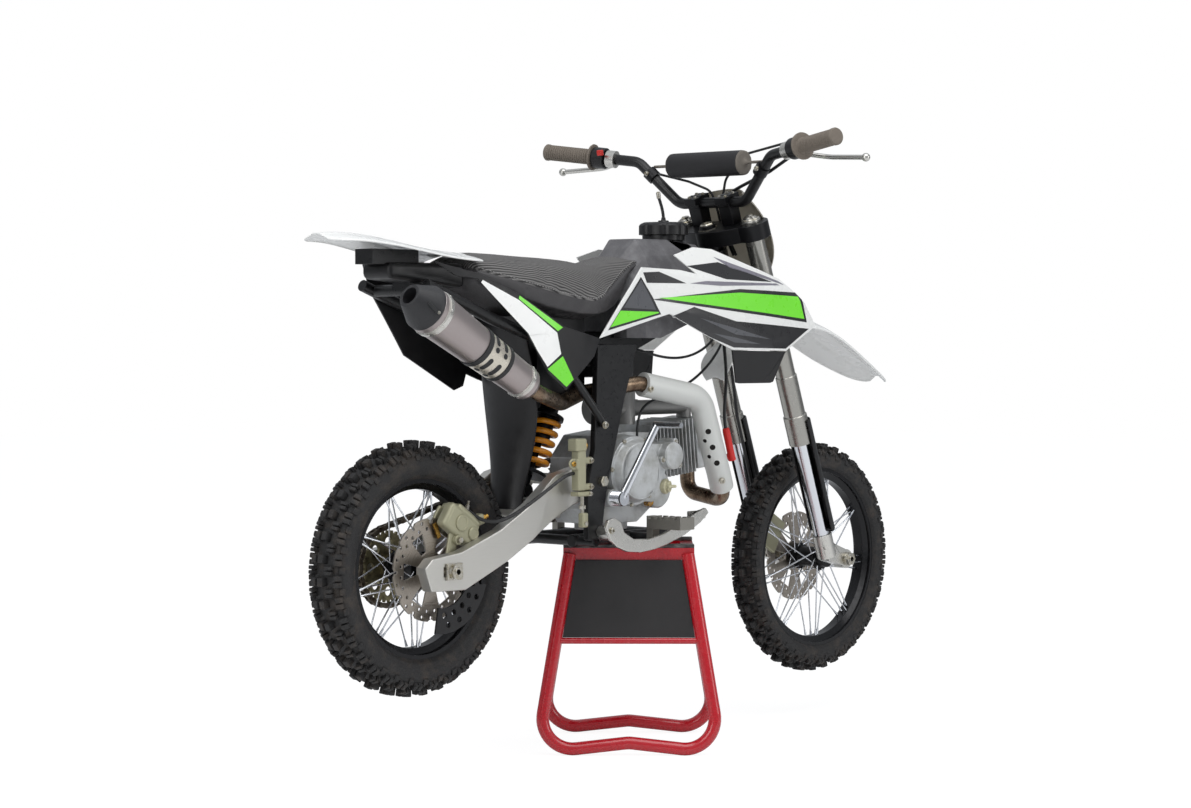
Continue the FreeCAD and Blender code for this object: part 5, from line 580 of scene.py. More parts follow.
# Bosses, lugs and an oil filler stand on the right cover, with flange bolts round its rim. The big
# round is over the clutch, and the small one over the end of the crankshaft.
LUG_ANGLES = (70, 195, 320)
bosses = bmesh.new()
turned(bosses, (-14, -58, 508), RIGHT, [(37, 0), (37, 34), (34, 38), (0, 38)], 48)
for angle in LUG_ANGLES:
    turned(bosses, round_from((4.2, -96, 574), 29, angle), RIGHT, [(7, -20), (7, 19), (6, 20), (0, 20)])
turned(bosses, (4.2, -120, 574), RIGHT, [(25, -2), (25, 1.6), (22, 2.6), (0, 2.6)], 48)
turned(bosses, (-103.8, -129, 548), RIGHT, [(53, -1), (52, 1), (49, 1), (48, 0), (46, 0)], 64)
mounted(bosses, "cover_bosses", [blasted_alloy], "root", "engine_silver")
cover_bolts = [(round_from((-103.8, -112.6, 548), 65.5, angle), RIGHT, 3.6)
               for angle in (18, 62, 118, 176, 262, 310)]
cover_bolts += [(round_from((4.2, -116, 574), 29, angle), RIGHT, 3.6) for angle in LUG_ANGLES]
screwed("cover_bolts", "root", *cover_bolts, sides=6)

# The filler's cap is moulded cream plastic with a bar to grip, satin and a little dirty.
cream_plastic = finish("cream_filler_plastic", "c9c4a4", roughness=0.4)
uneven(cream_plastic, grain=5, low=0.32, high=0.5, relief=0.05)
filler = bmesh.new()
turned(filler, (4, -94, 513), (0.35, -0.93, 0), [(15, -4), (15, 5), (13, 7), (11, 7), (11, 12), (0, 12)], 32)
block(filler, (9.5, -108, 513), (24, 9, 6), 2.5)
mounted(filler, "oil_filler", [cream_plastic], "root", "engine_silver")

# Oil behind the sight glass: a small amber lens, dark where the oil stands.
amber_glass = finish("amber_sight_glass", "7a4a12", roughness=0.12, Coat_Weight=0.6)
uneven(amber_glass, grain=4, low=0.08, high=0.18)
clouded(amber_glass, "c08a1c", "3a1c0a", size=5)
glass = bmesh.new()
turned(glass, (-40, -96, 484), RIGHT, [(8.5, -10), (8.5, 1), (7.5, 2), (7, 1), (0, 2.4)], 32)
mounted(glass, "sight_glass", [amber_glass], "root", "engine_silver")

# A silicone plug cap on the head's right, with an elbow to the spark plug, and the lead to it.
# Moulded silicone is a clear soft red, and the lead's vinyl a smooth black, shiny where it rubs.
red_silicone = finish("red_silicone", "d3241f", roughness=0.38)
uneven(red_silicone, grain=4, low=0.3, high=0.48, relief=0.05)
plug_cap = bmesh.new()
turned(plug_cap, (243, -69, 556), (-0.33, -0.03, 0.94), [
    (0, 0), (8, 0), (8.5, 3), (7.8, 5), (7.4, 30), (7.8, 62), (7, 68), (4.4, 70), (0, 70)], 28)
turned(plug_cap, (241.5, -70, 563), (-0.4, 0.92, 0), [
    (0, 0), (7.2, 0), (7.2, 8), (5.5, 10), (5.5, 16), (0, 16)])
mounted(plug_cap, "plug_cap", [red_silicone], "root", "engine_silver")
vinyl_sheath = finish("black_vinyl_sheath", "19191a", roughness=0.42)
uneven(vinyl_sheath, grain=8, low=0.34, high=0.52)
lead = bmesh.new()
hose(lead, 3.3, (220, -71, 621), (212, -72, 645), (226, -66, 690), (246, -52, 740), (246, -44, 790),
     (240, -44, 850))
mounted(lead, "plug_lead", [vinyl_sheath], "root", "cable_black")

# The carburettor's chromed cap nut and the kick starter's knurled boss.
carb_cap = bmesh.new()
turned(carb_cap, (-7.8, 0, 733), (0, 0, 1), [
    (17, -6), (17, 2), (15, 4), (15, 12), (13, 13), (6, 14), (5, 24), (0, 24)], 12)
mounted(carb_cap, "carburettor_cap", [chromed_steel], "root", "carburettor_metal")

# Die cast carburettor alloy: grey, duller than the cases.
carburettor_alloy = finish("cast_carburettor_alloy", "8f8e8c", metallic=0.7, roughness=0.42)
uneven(carburettor_alloy, grain=3, low=0.35, high=0.55, relief=0.1)
paint("carburettor", carburettor_alloy)
paint("kick_starter", chromed_steel)
paint("gear_lever", chromed_steel)
kick_parts = bmesh.new()
splines = [(14.5 - 1.2 * (ring % 2), ring * 1.6) for ring in range(16)]
turned(kick_parts, (-169.8, -117, 498), RIGHT, [(12, 0)] + splines + [(12, 26), (0, 26)], 36)
mounted(kick_parts, "kick_boss", [chromed_steel], "root", "spoke_chrome")


# Exhaust
# A heat bronzed steel pipe with a pale pierced shield round its bend, and a long silencer of
# brushed titanium with a black end cap, held by riveted bands.
# Bare steel that heat has turned bronze, in clouds of lighter and darker brown.
bronzed_pipe = finish("heat_bronzed_steel", "84725f", metallic=1.0, roughness=0.3)
uneven(bronzed_pipe, grain=6, low=0.22, high=0.42)
clouded(bronzed_pipe, "8a7865", "4c3a2e", size=46)
paint("header_pipe", bronzed_pipe)

# Heat proof paint over pressed steel: pale grey, with a soft even sheen.
shield_paint = finish("pale_heat_paint", "c9cac6", metallic=0.25, roughness=0.44)
uneven(shield_paint, grain=4, low=0.38, high=0.55, relief=0.08)
eased("heat_shield", 0.5, shield_paint)

# The shield's lower end follows the bend, and is pierced with rimmed holes in two sizes: each hole
# has a place along the shield, a turn round it and a radius.
SHIELD_FOOT, SHIELD_RADIUS = Vector((130, -124, 547.6)), 23.4
shield_end = bmesh.new()
hose(shield_end, SHIELD_RADIUS + 0.5, (127, -124, 556), (136, -124, 533), (143, -122, 519), (151, -118, 508))
hole_discs = bmesh.new()
shield_way = Vector((-0.353, 0, 0.936))
for along, turn, radius in ((84, 40, 5.8), (66, 14, 4.2), (50, 42, 5.8), (32, 16, 4.2), (16, 44, 5.8)):
    out = Vector((-math.cos(math.radians(turn)), -math.sin(math.radians(turn)), 0))
    out = (out - shield_way * out.dot(shield_way)).normalized()
    spot = SHIELD_FOOT + shield_way * along + out * SHIELD_RADIUS
    turned(shield_end, spot, out, [(radius + 2, -1), (radius + 1.4, 0.9), (radius, 1.0), (radius, 0)])
    # Each hole is filled with a disc of painted shade, inside its rim.
    turned(hole_discs, spot, out, [(radius, -0.5), (radius, 0.75), (0, 0.75)])
mounted(shield_end, "shield_end", [shield_paint], "root", "shield_white")

# Painted shade: dark discs fill the shield's holes, standing in for the shadow between the shield and the
# pipe.
hole_shadow = finish("painted_hole_shade", "1a1613", metallic=0.5, roughness=0.7)
uneven(hole_shadow, grain=5, low=0.6, high=0.8)
mounted(hole_discs, "shield_holes", [hole_shadow], "root", "header_bronze")

# Alloy polished on a wheel, with soft long highlights.
polished_alloy = finish("polished_alloy", "c9c7c1", metallic=0.95, roughness=0.26)
uneven(polished_alloy, grain=24, low=0.2, high=0.34)
screwed("shield_screws", "root",
        ((-70, -124, 706), (-0.35, -0.9, 0.1), 5), ((124, -142, 521), (-0.6, -0.78, -0.15), 5))

# Rolled titanium sheet, brushed round the can: warm grey, with highlights drawn out across it.
brushed_titanium = finish("brushed_titanium", "a39a98", metallic=0.95, roughness=0.34)
uneven(brushed_titanium, grain=1.4, low=0.28, high=0.46, relief=0.04, stretch=(1, 0.05, 1))
eased("muffler", 1.2, brushed_titanium)

# The silencer's front end, its way back, and its can, which widens to the rear.
MUFFLER_FRONT = Vector((-430.8, -146.0, 715.0))
MUFFLER_WAY = Vector((-0.8797, 0, 0.4756))
MUFFLER_UP = MUFFLER_WAY.cross(Vector(RIGHT))
CAN_START, CAN_LENGTH = 12.4, 287.6
CAN_FRONT_RADIUS, CAN_GROWTH = 31, 12


def can_radius(along):
    """The silencer's radius at a distance behind its front end."""
    return CAN_FRONT_RADIUS + CAN_GROWTH * (along - CAN_START) / CAN_LENGTH


def can_way(angle):
    """The way out of the silencer at an angle in radians, up from the right."""
    return math.cos(angle) * Vector(RIGHT) + math.sin(angle) * MUFFLER_UP


def strap(shape, start, end, height):
    """A band round the silencer between two distances from its front end."""
    turned(shape, MUFFLER_FRONT, MUFFLER_WAY, [
        (can_radius(start) - 1, start), (can_radius(start) + height, start + 0.7),
        (can_radius(end) + height, end - 0.7), (can_radius(end) - 1, end)], 64)


def can_slot(shape, along, turn, half_long, half_wide, height):
    """A round ended patch laid on the silencer, by its middle, its turn up from the right, and its size."""
    part = bmesh.new()
    bmesh.ops.create_grid(part, x_segments=12, y_segments=12, size=1.0)
    for vert in part.verts:
        across = vert.co.y * (half_long - half_wide + half_wide * math.sqrt(1 - min(1, vert.co.x ** 2)))
        behind = along + vert.co.x * half_wide
        reach = can_radius(behind) + height
        out = can_way(math.radians(turn) + across / reach)
        vert.co = (MUFFLER_FRONT + MUFFLER_WAY * behind + out * reach) * MM
    bmesh.ops.remove_doubles(part, verts=part.verts, dist=WELD)
    laid_in(shape, part)


def can_stud(shape, along, turn, radius, height):
    """A domed rivet on the silencer."""
    out = can_way(math.radians(turn))
    turned(shape, MUFFLER_FRONT + MUFFLER_WAY * along + out * (can_radius(along) + height), out,
           [(radius, -1), (radius, 0.5), (radius * 0.7, 1.2), (0, 1.5)], 14)


# Rubber rings hold a pale pressed collar, and polished straps with rivets close both ends. The
# rubber is smooth and satin. Between the rings it shows as long and round slots in the collar.
ring_rubber = finish("black_ring_rubber", "1b1b1c", roughness=0.5)
uneven(ring_rubber, grain=3, low=0.42, high=0.62, relief=0.05)
rings = bmesh.new()
strap(rings, 94, 104, 2.2)
strap(rings, 156, 168, 2.2)
for turn in range(-360, 0, 90):
    for along in (119, 143):
        can_slot(rings, along, turn - 50, half_long=16, half_wide=5.2, height=1.3)
        can_slot(rings, along - 1, turn + 3, half_long=5.4, half_wide=5.4, height=1.3)
mounted(rings, "silencer_rings", [ring_rubber], "root", "muffler_black")

# Pressed steel plated a pale warm grey.
pressed_collar = finish("pale_pressed_collar", "cfc8ba", metallic=0.85, roughness=0.3)
uneven(pressed_collar, grain=4, low=0.24, high=0.42)
collar = bmesh.new()
strap(collar, 103.5, 156.5, 1.0)
mounted(collar, "silencer_collar", [pressed_collar], "root", "bare_aluminium")
straps = bmesh.new()
for start, end in ((22, 34), (276, 290)):
    strap(straps, start, end, 1.3)
    strap(straps, start + 2.5, end - 2.5, 2.0)
    for turn in range(0, 360, 45):
        can_stud(straps, (start + end) / 2, turn + 10, radius=2.6, height=1.6)
mounted(straps, "silencer_straps", [polished_alloy], "root", "bare_aluminium")

# Matt black ceramic paint on the end cap, with a spring hook riveted to its side.
end_cap_paint = finish("matt_black_end_cap", "202022", roughness=0.5)
uneven(end_cap_paint, grain=3, low=0.42, high=0.6, relief=0.08)
eased("muffler_tip", 1.0, end_cap_paint)
hook = bmesh.new()
hose(hook, 3.2, (-724, -179, 869), (-719, -183, 862), (-713, -186, 855), (-709, -188, 850))
mounted(hook, "silencer_hook", [ring_rubber], "root", "muffler_black")
screwed("silencer_hook_rivet", "root", ((-710, -190, 852), (-0.51, -0.86, 0), 2.2))


# Foot controls and brakes
# Investment cast steel pegs with saw teeth, a bent alloy pedal, and khaki anodised brake
# castings: a master cylinder at the post and a two piston caliper on each disc.
# Investment cast steel, grey and pebbled, rubbed brighter on its edges.
cast_peg_steel = finish("cast_peg_steel", "8d8a83", metallic=0.9, roughness=0.42)
uneven(cast_peg_steel, grain=2.5, low=0.34, high=0.56, relief=0.1)
eased("foot_pegs", 0.7, cast_peg_steel)
eased("brake_pedal", 1.6, polished_alloy)

# Khaki anodising over fine castings: dull, with a trace of metal in it.
khaki_casting = finish("khaki_anodised_casting", "a19e84", metallic=0.4, roughness=0.42)
uneven(khaki_casting, grain=2.5, low=0.34, high=0.52, relief=0.08)
eased("front_caliper", 3.0, khaki_casting, segments=3)

# The rear caliper straddles its disc over the swingarm's end: two halves, a bridge over the disc, a
# foot, the hose's inlet and two pistons.
caliper = bmesh.new()
for centre, size, ease, tilt in (
        ((-545, -71, 464), (86, 26, 50), 8, 35), ((-545, -39, 464), (70, 8, 40), 3.5, 35),
        ((-527, -60, 481), (66, 50, 13), 6, 35), ((-563, -72, 428), (22, 9, 46), 4, 12),
        ((-500, -71, 469), (34, 18, 20), 4, -14)):
    block(caliper, centre, size, ease, tilt)
for centre, radius in (((-548, -83, 468), 15.5), ((-519, -83, 447), 12.5)):
    turned(caliper, centre, RIGHT, [(radius, -2), (radius, 3), (radius - 1.5, 4.5), (radius - 4, 4.5),
                                    (radius - 4.6, 3.6), (0, 3.6)], 32)
turned(caliper, (-556, -80, 437), RIGHT, [(9, -4), (9, 4), (8, 5), (0, 5)])

# The master cylinder stands behind the frame's right post, over the push rod from the pedal: its
# body, its reservoir, the window's boss, a flange, the rod's clevis and two lugs.
for centre, size, ease in (
        ((-276, -124, 556), (22, 21, 78), 4), ((-280, -124, 604), (30, 25, 24), 4),
        ((-283, -125, 568), (15, 19, 22), 5), ((-270, -124, 511), (36, 24, 9), 3),
        ((-266, -126, 461), (15, 15, 28), 3.5), ((-256, -127, 574), (26, 11, 13), 4),
        ((-256, -127, 524), (26, 11, 13), 4)):
    block(caliper, centre, size, ease)
turned(caliper, (-290, -125, 568), (-0.8, -0.6, 0), [
    (10.5, -4), (10.5, 1), (9, 2), (6.5, 2), (6, 0.8), (0, 0.8)], 32)
mounted(caliper, "rear_brake_castings", [khaki_casting], "root", "caliper_khaki", "rear_brake")

# The moulded guard under the disc keeps its own shape: what lies above or ahead of it is cut off.
GUARD_TOP, GUARD_FRONT = 399, -440
guard = merged_copy("rear_brake")
castings = [face for face in guard.faces if face.calc_center_median().z > GUARD_TOP * MM
            or face.calc_center_median().x > GUARD_FRONT * MM]
bmesh.ops.delete(guard, geom=castings, context="FACES")
mounted(guard, "disc_guard", [moulded_black], "root", "black_plastic")

# Turned brass for the hose's banjo, the sight glass's rim, the reservoir's plug and a brake pad's edge,
# yellow with brown tarnish.
brass = finish("brass_fitting", "b08a45", metallic=1.0, roughness=0.28)
uneven(brass, grain=6, low=0.24, high=0.38)
clouded(brass, "b08a45", "7a5c2c", size=9)
fittings = bmesh.new()
turned(fittings, (-484, -74, 473), (0.9, -0.1, 0.35), [
    (6.5, -6), (6.5, 4), (5.5, 5), (4, 5), (4, 12), (0, 12)], 6)
turned(fittings, (-292.5, -126.8, 568), (-0.8, -0.6, 0), [(4.8, -2), (4.8, 0.8), (3.6, 1.6), (0, 1.6)], 20)
turned(fittings, (-266, -130, 602), (0.8, -0.6, 0), [(6, -6), (6, 4), (4.4, 5), (0, 5)], 6)
block(fittings, (-587, -58, 455), (9, 4, 30), 1, tilt=-24)
mounted(fittings, "brake_fittings", [brass], "root", "caliper_khaki")

# Plated steel: the caliper's pin and bleed screw, and the push rod with its nut and clevis pin.
turned_steel = bmesh.new()
turned(turned_steel, (-556, -85, 437), RIGHT, [(6, 0), (6, 5), (5, 6), (0, 6)], 6)
turned(turned_steel, (-520, -70, 494), (0.3, 0, 1), [(4, -4), (4, 5), (2.4, 6), (2.4, 13), (0, 13)], 6)
turned(turned_steel, (-268, -125, 506), (0.02, 0, -1), [(3.6, 0), (3.6, 34), (0, 34)], 20)
turned(turned_steel, (-268, -125, 489), (0, 0, -1), [(7, 0), (7, 7), (0, 7)], 6)
turned(turned_steel, (-266, -133, 455), RIGHT, [(4.5, -1), (4.5, 2), (0, 2.4)], 16)
mounted(turned_steel, "brake_steel_parts", [zinc_plated], "root", "bare_aluminium")
screwed("master_cylinder_bolts", "root", ((-250, -132, 574), RIGHT, 4.2), ((-250, -132, 524), RIGHT, 4.2),
        ((-256, -136, 511), RIGHT, 3.4), ((-219, -156, 440), RIGHT, 5))


# Fork
# Upside-down fork: silver anodised outer tubes in black clamps, chromed sliders below with cast
# alloy feet on the axle, and moulded black guards in front of the chrome.
# Drawn tube, anodised silver: streaks of light run down it.
silver_anodised = finish("silver_anodised_tube", "a19f99", metallic=0.95, roughness=0.27)
uneven(silver_anodised, grain=40, low=0.22, high=0.3)
paint("fork_tubes", silver_anodised)
paint("fork_sliders", chromed_steel)
eased("axle_lugs", 1.4, polished_alloy)
eased("fork_guards", 0.8, moulded_black)
eased("triple_clamp", 1.2, black_anodised)

# The top of the steering stem, the way down the stem, and the way ahead of it.
HEAD = Vector((246.154, 0, 1032.0))
ALONG = Vector((0.34202, 0, -0.93969))
ACROSS = Vector((0.93969, 0, 0.34202))
# The fork's legs stand this far ahead of the stem and this far to its sides.
LEG_AHEAD, LEG_ASIDE = 36, 86
clamp_spots = [(HEAD + ALONG * drop + ACROSS * 16 + Vector((0, side * LEG_ASIDE, 0)), -ACROSS, 4)
               for side in (1, -1) for drop in (14, 29, 192, 209)]
screwed("clamp_screws", "steering", *clamp_spots)
fork_caps = bmesh.new()
turned(fork_caps, HEAD + ALONG * 5, -ALONG, [
    (21, -1), (21, 2), (15, 2), (15, 11), (13, 13), (8, 13), (7, 10), (0, 10)], 6)
for side in (1, -1):
    leg = HEAD + ACROSS * LEG_AHEAD + Vector((0, side * LEG_ASIDE, 0))
    turned(fork_caps, leg, -ALONG, [(19, -4), (19, 3), (17, 5), (13, 5), (12, 8), (0, 8)], 32)
    turned(fork_caps, leg - ALONG * 8, -ALONG, [(8, -1), (8, 4), (0, 4)], 6)
mounted(fork_caps, "fork_caps", [zinc_plated], "steering", "bare_aluminium")


# Handlebar
# A gloss black steel bar in black risers with a cross bar inside a foam pad, soft moulded
# grips, a black switch and throttle housing, and blade levers of polished alloy.
paint("handlebar", black_powder_coat)
eased("bar_clamps", 1.0, black_anodised)

# Moulded soft rubber grips with rings to hold by, warm grey and dull, and a flange at the inner end.
grip_rubber = finish("moulded_grip_rubber", "6f665c", roughness=0.7)
uneven(grip_rubber, grain=2.6, low=0.6, high=0.82, relief=0.5)
RING_PITCH = 5.2
grip_shape = bmesh.new()
for side in (1, -1):
    grip_way = Vector((-57.6, side * 208, 26)).normalized()
    grip_end = Vector((176.2, side * 385, 1196.5))
    line = [(11, -113), (27, -112), (27.5, -109), (26, -107), (17.5, -106)]
    for ring in range(18):
        start = -101 + ring * RING_PITCH
        line += [(15.2, start), (15.2, start + 1.4), (16.4, start + 2.2), (16.4, start + 4.4)]
    line += [(15.6, -7), (17.4, -5), (17.4, 0), (15, 2.6), (0, 3)]
    turned(grip_shape, grip_end, grip_way, line, 40)
mounted(grip_shape, "ribbed_grips", [grip_rubber], "steering", "grip_rubber", "grips")

# Screws hold the bar in its clamps, and a split ring holds each end of the cross bar.
BAR = Vector((262.2, 0, 1081.5))
bar_screws = [(BAR - ALONG * 15.3 + ACROSS * ahead + Vector((0, side, 0)), -ALONG, 3.4)
              for side in (-48, -32, 32, 48) for ahead in (-12, 12)]
screwed("bar_clamp_screws", "steering", *bar_screws)
cross_clamps = bmesh.new()
for side in (1, -1):
    turned(cross_clamps, (243, side * 141, 1137), (-28.4, side * 89, 89), [
        (10, -2), (15, -2), (15, 18), (10, 18)], 28)
mounted(cross_clamps, "cross_bar_clamps", [black_anodised], "steering", "black_metal")
screwed("cross_clamp_screws", "steering", *[
    ((224, side * 147, 1145), (-0.95, 0, 0.3), 4) for side in (1, -1)])
eased("switch_gear", 1.2, moulded_black)
paint("levers", polished_alloy)

# The stop switch's rocker, moulded in glossy red plastic.
red_switch = finish("red_switch_plastic", "c2261f", roughness=0.36)
uneven(red_switch, grain=4, low=0.3, high=0.44)
rocker = bmesh.new()
block(rocker, (184, 241, 1190), (9, 13, 12), 2, tilt=-8)
mounted(rocker, "stop_switch", [red_switch], "steering", "black_plastic")

# Control cables and hoses. On the frame they hang in easy curves: throttle, clutch and rear brake.
paint("steering_cables", vinyl_sheath)
runs = bmesh.new()
CABLE_RADIUS, HOSE_RADIUS = 2.6, 3.4
hose(runs, CABLE_RADIUS, (316, -29, 946), (289, -43, 915), (254, -46, 846), (196, -46, 782),
     (110, -44, 760), (30, -42, 770), (-2, -24, 786), (-7.8, -2, 780), (-7.8, 0, 756))
hose(runs, CABLE_RADIUS, (316, -36, 939), (289, -50, 908), (256, -54, 838), (206, -58, 764),
     (120, -62, 712), (20, -76, 690), (-56, -88, 676), (-75, -92, 644), (-76, -93, 602))
hose(runs, HOSE_RADIUS, (-269, -121, 548), (-295, -121, 556), (-340, -119, 530), (-430, -109, 478),
     (-485, -100, 462), (-514, -80, 478), (-524.6, -65, 498), (-524.6, -65, 471))
mounted(runs, "frame_cable_runs", [vinyl_sheath], "root", "cable_black", "frame_cables")


# Tank, seat and pad
# The fuel tank is rotationally moulded grey polyethylene with a coarse grain and cloudy patches.
# The seat is foam under a cover of ribbed textile and smooth vinyl, and the bar pad is foam in
# black cloth.
grained_grey = finish("grained_grey_polyethylene", "565557", roughness=0.55)
uneven(grained_grey, grain=1.8, low=0.44, high=0.66, relief=0.6)
clouded(grained_grey, "565557", "6b6a6c", size=30)
eased("fuel_tank", 2.0, grained_grey, sharp=12, segments=3)

# The cap's rim has eight scallops for the hand. A breather hose with a plated valve stands in it.
CAP = Vector((109, 0, 1001))
SCALLOPS, SCALLOP_DEPTH = 8, 0.075
cap_shape = bmesh.new()
turned(cap_shape, CAP, (0, 0, 1), [
    (43, 0), (43, 10), (50, 11), (50, 29), (47, 33), (40, 36), (12, 36), (10, 40), (5, 40), (4, 46),
    (0, 46)], 96)
for vert in cap_shape.verts:
    away = Vector((vert.co.x - CAP.x * MM, vert.co.y, 0))
    on_rim = vert.co.z > (CAP.z + 10) * MM and away.length > 38 * MM
    if on_rim:
        dip = 1 - SCALLOP_DEPTH * max(0, math.cos(SCALLOPS * math.atan2(away.y, away.x))) ** 2
        vert.co.x, vert.co.y = CAP.x * MM + away.x * dip, away.y * dip
mounted(cap_shape, "scalloped_cap", [moulded_black], "root", "black_plastic", "tank_cap")
breather = bmesh.new()
hose(breather, 3.2, (109, 0, 1042), (109, 0, 1060), (104, 3, 1074), (101, 5, 1086))
mounted(breather, "breather_hose", [vinyl_sheath], "root", "cable_black")
fitting = bmesh.new()
turned(fitting, (101, 5, 1085), (-0.1, 0.1, 1), [
    (0, 0), (4, 0), (4.4, 2), (4.4, 12), (2.4, 14), (0, 14)], 16)
mounted(fitting, "breather_valve", [zinc_plated], "root", "bare_aluminium")


def bake(piece):
    """Apply a piece's modifiers to its mesh."""
    made = bpy.data.meshes.new_from_object(piece.evaluated_get(bpy.context.evaluated_depsgraph_get()))
    piece.modifiers.clear()
    piece.data = made


def taken_up(piece):
    """The shape of a piece that was only a step, with the piece itself removed."""
    shape = bmesh.new()
    shape.from_mesh(piece.data)
    bpy.data.objects.remove(piece)
    return shape


FILLING_PRESSURE, FILLING_MOMENTS = 4, 20


def stuffed(node, voxel, inset, cap, rounds):
    """A CAD cushion's skin, drawn in and blown up by a cloth simulation, no point further than cap mm."""
    skin = placed(node + "_skin", merged_copy(node))
    remesh = skin.modifiers.new("even_skin", "REMESH")
    remesh.mode = "VOXEL"
    remesh.voxel_size = voxel * MM
    bake(skin)
    shape = bmesh.new()
    shape.from_mesh(skin.data)
    for _ in range(rounds):
        bmesh.ops.smooth_vert(shape, verts=shape.verts, factor=0.5, use_axis_x=True, use_axis_y=True,
                              use_axis_z=True)
    shape.normal_update()
    for vert in shape.verts:
        vert.co -= vert.normal * inset * MM
    shape.to_mesh(skin.data)
    shape.free()
    start = [vert.co.copy() for vert in skin.data.vertices]
    cloth = skin.modifiers.new("filling", "CLOTH")
    cloth.settings.use_pressure = True
    cloth.settings.uniform_pressure_force = FILLING_PRESSURE
    cloth.settings.effector_weights.gravity = 0
    for moment in range(1, FILLING_MOMENTS + 1):
        bpy.context.scene.frame_set(moment)
    bake(skin)
    bpy.context.scene.frame_set(1)
    for vert, place in zip(skin.data.vertices, start):
        move = vert.co - place
        if move.length > cap * MM:
            vert.co = place + move.normalized() * cap * MM
    skin.modifiers.new("finer_skin", "SUBSURF").levels = 1
    bake(skin)
    return taken_up(skin)


# Smooth seat vinyl with a fine leather grain, and the ribbed textile of the seat's top, whose
# wavy ribs are raised by bump and painted lighter on their crowns as a painted highlight.
seat_vinyl = finish("seat_vinyl", "373536", roughness=0.5)
uneven(seat_vinyl, grain=2.0, low=0.42, high=0.6, relief=0.15)
ribbed_textile = finish("ribbed_seat_textile", "565454", roughness=0.7)
rib_place = add(ribbed_textile, "Mapping", Vector=place_on(ribbed_textile), Scale=(0.25, 1, 1),
                Rotation=(0, math.radians(-8), 0))
ribs = add(ribbed_textile, "TexWave", {"bands_direction": "DIAGONAL"}, Vector=rib_place.outputs[0],
           Scale=96.0, Distortion=3.2, Detail=1.0, Detail_Scale=0.25)
# Painted highlight: the ribs' crowns are coloured lighter than their troughs.
rib_highlight_mix = add(ribbed_textile, "Mix", {"data_type": "RGBA"}, _0=ribs.outputs[1], _6=linear("2c2b2b"),
              _7=linear("747270"))
rib_bump = add(ribbed_textile, "Bump", Height=ribs.outputs[1], Distance=0.8 * MM, Strength=1.0)
rib_shine = add(ribbed_textile, "MapRange", Value=ribs.outputs[1], To_Min=0.85, To_Max=0.55)
feed(ribbed_textile.node_tree.nodes["skin"], Base_Color=rib_highlight_mix.outputs[2], Normal=rib_bump.outputs[0],
     Roughness=rib_shine.outputs[0])

# Bonded nylon thread, grey and dull.
thread = finish("grey_seat_thread", "8b8988", roughness=0.7)
uneven(thread, grain=1.0, low=0.6, high=0.8, relief=0.1)

# The seam between them, as heights in mm over points along the seat, the same on both sides. It
# lies in a groove, and the skin's points next to it are drawn onto it.
SEAM = [(-600, 958), (-500, 936), (-453, 922), (-389, 906), (-316, 890), (-261, 881), (-211, 876),
        (-181, 884), (-130, 908), (-82, 934), (-36, 954), (40, 980)]
SEAM_REACH, GROOVE_REACH, GROOVE_DEPTH = 1.7, 4.5, 1.8
STITCH_PITCH, STITCH_LENGTH, LONGEST_STITCH, THREAD_RADIUS = 6.6, 4.2, 9, 0.75
FIRST_STITCH, STITCH_COUNT = -488, 72


def seam_height(along):
    """The seam's height at a place along the bike, in mm."""
    for (start, low), (end, high) in zip(SEAM, SEAM[1:]):
        if along <= end:
            return low + (high - low) * (along - start) / (end - start)
    return SEAM[-1][1]


seat_shape = stuffed("seat", voxel=5, inset=2.5, cap=5, rounds=8)
seat_shape.normal_update()
for vert in seat_shape.verts:
    height = seam_height(vert.co.x / MM)
    on_side = abs(vert.normal.y) > 0.3
    if on_side and abs(vert.co.z / MM - height) < SEAM_REACH:
        vert.co.z = height * MM
    off = abs(vert.co.z / MM - height)
    if on_side and off < GROOVE_REACH:
        vert.co -= vert.normal * GROOVE_DEPTH * MM * (1 - off / GROOVE_REACH)
for face in seat_shape.faces:
    middle = face.calc_center_median()
    face.material_index = int(middle.z / MM > seam_height(middle.x / MM))
seat_tree = BVHTree.FromBMesh(seat_shape)
stitches = bmesh.new()
for side in (1, -1):
    for number in range(STITCH_COUNT):
        along = FIRST_STITCH + number * STITCH_PITCH
        # A stitch lies on the skin just above the groove, where a line from the side meets it.
        ends = [seat_tree.ray_cast(Vector((x, side * 300, seam_height(x) + GROOVE_REACH)) * MM,
                                   Vector((0, -side, 0)))[0]
                for x in (along, along + STITCH_LENGTH)]
        if None in ends:
            continue
        reach = ends[1] - ends[0]
        if reach.length < LONGEST_STITCH * MM:
            middle = Matrix.Translation((ends[0] + ends[1]) / 2)
            facing = reach.to_track_quat("Z", "Y").to_matrix().to_4x4()
            bmesh.ops.create_cone(stitches, cap_ends=True, segments=6, radius1=THREAD_RADIUS * MM,
                                  radius2=THREAD_RADIUS * MM, depth=reach.length, matrix=middle @ facing)
padded_seat = mounted(seat_shape, "upholstered_seat", [seat_vinyl, ribbed_textile], "root", "seat_cover",
                      "seat", smooth=180)
mounted(stitches, "seat_stitches", [thread], "root", "seat_cover")

# The bar pad's woven nylon is black, with rounds of rougher grey cloth over its ends.
PAD_END = 93
pad_cloth = finish("black_pad_cloth", "1b1a1c", roughness=0.6)
uneven(pad_cloth, grain=1.6, low=0.5, high=0.7, relief=0.3)
pad_end_cloth = finish("grey_pad_end_cloth", "6a645c", roughness=0.8)
uneven(pad_end_cloth, grain=1.4, low=0.7, high=0.9, relief=0.4)
pad_shape = stuffed("bar_pad", voxel=4, inset=1.5, cap=4, rounds=2)
for face in pad_shape.faces:
    face.material_index = int(abs(face.calc_center_median().y) > PAD_END * MM)
padded_bar = mounted(pad_shape, "stuffed_bar_pad", [pad_cloth, pad_end_cloth], "steering", "pad_cover",
                     "bar_pad", smooth=180)


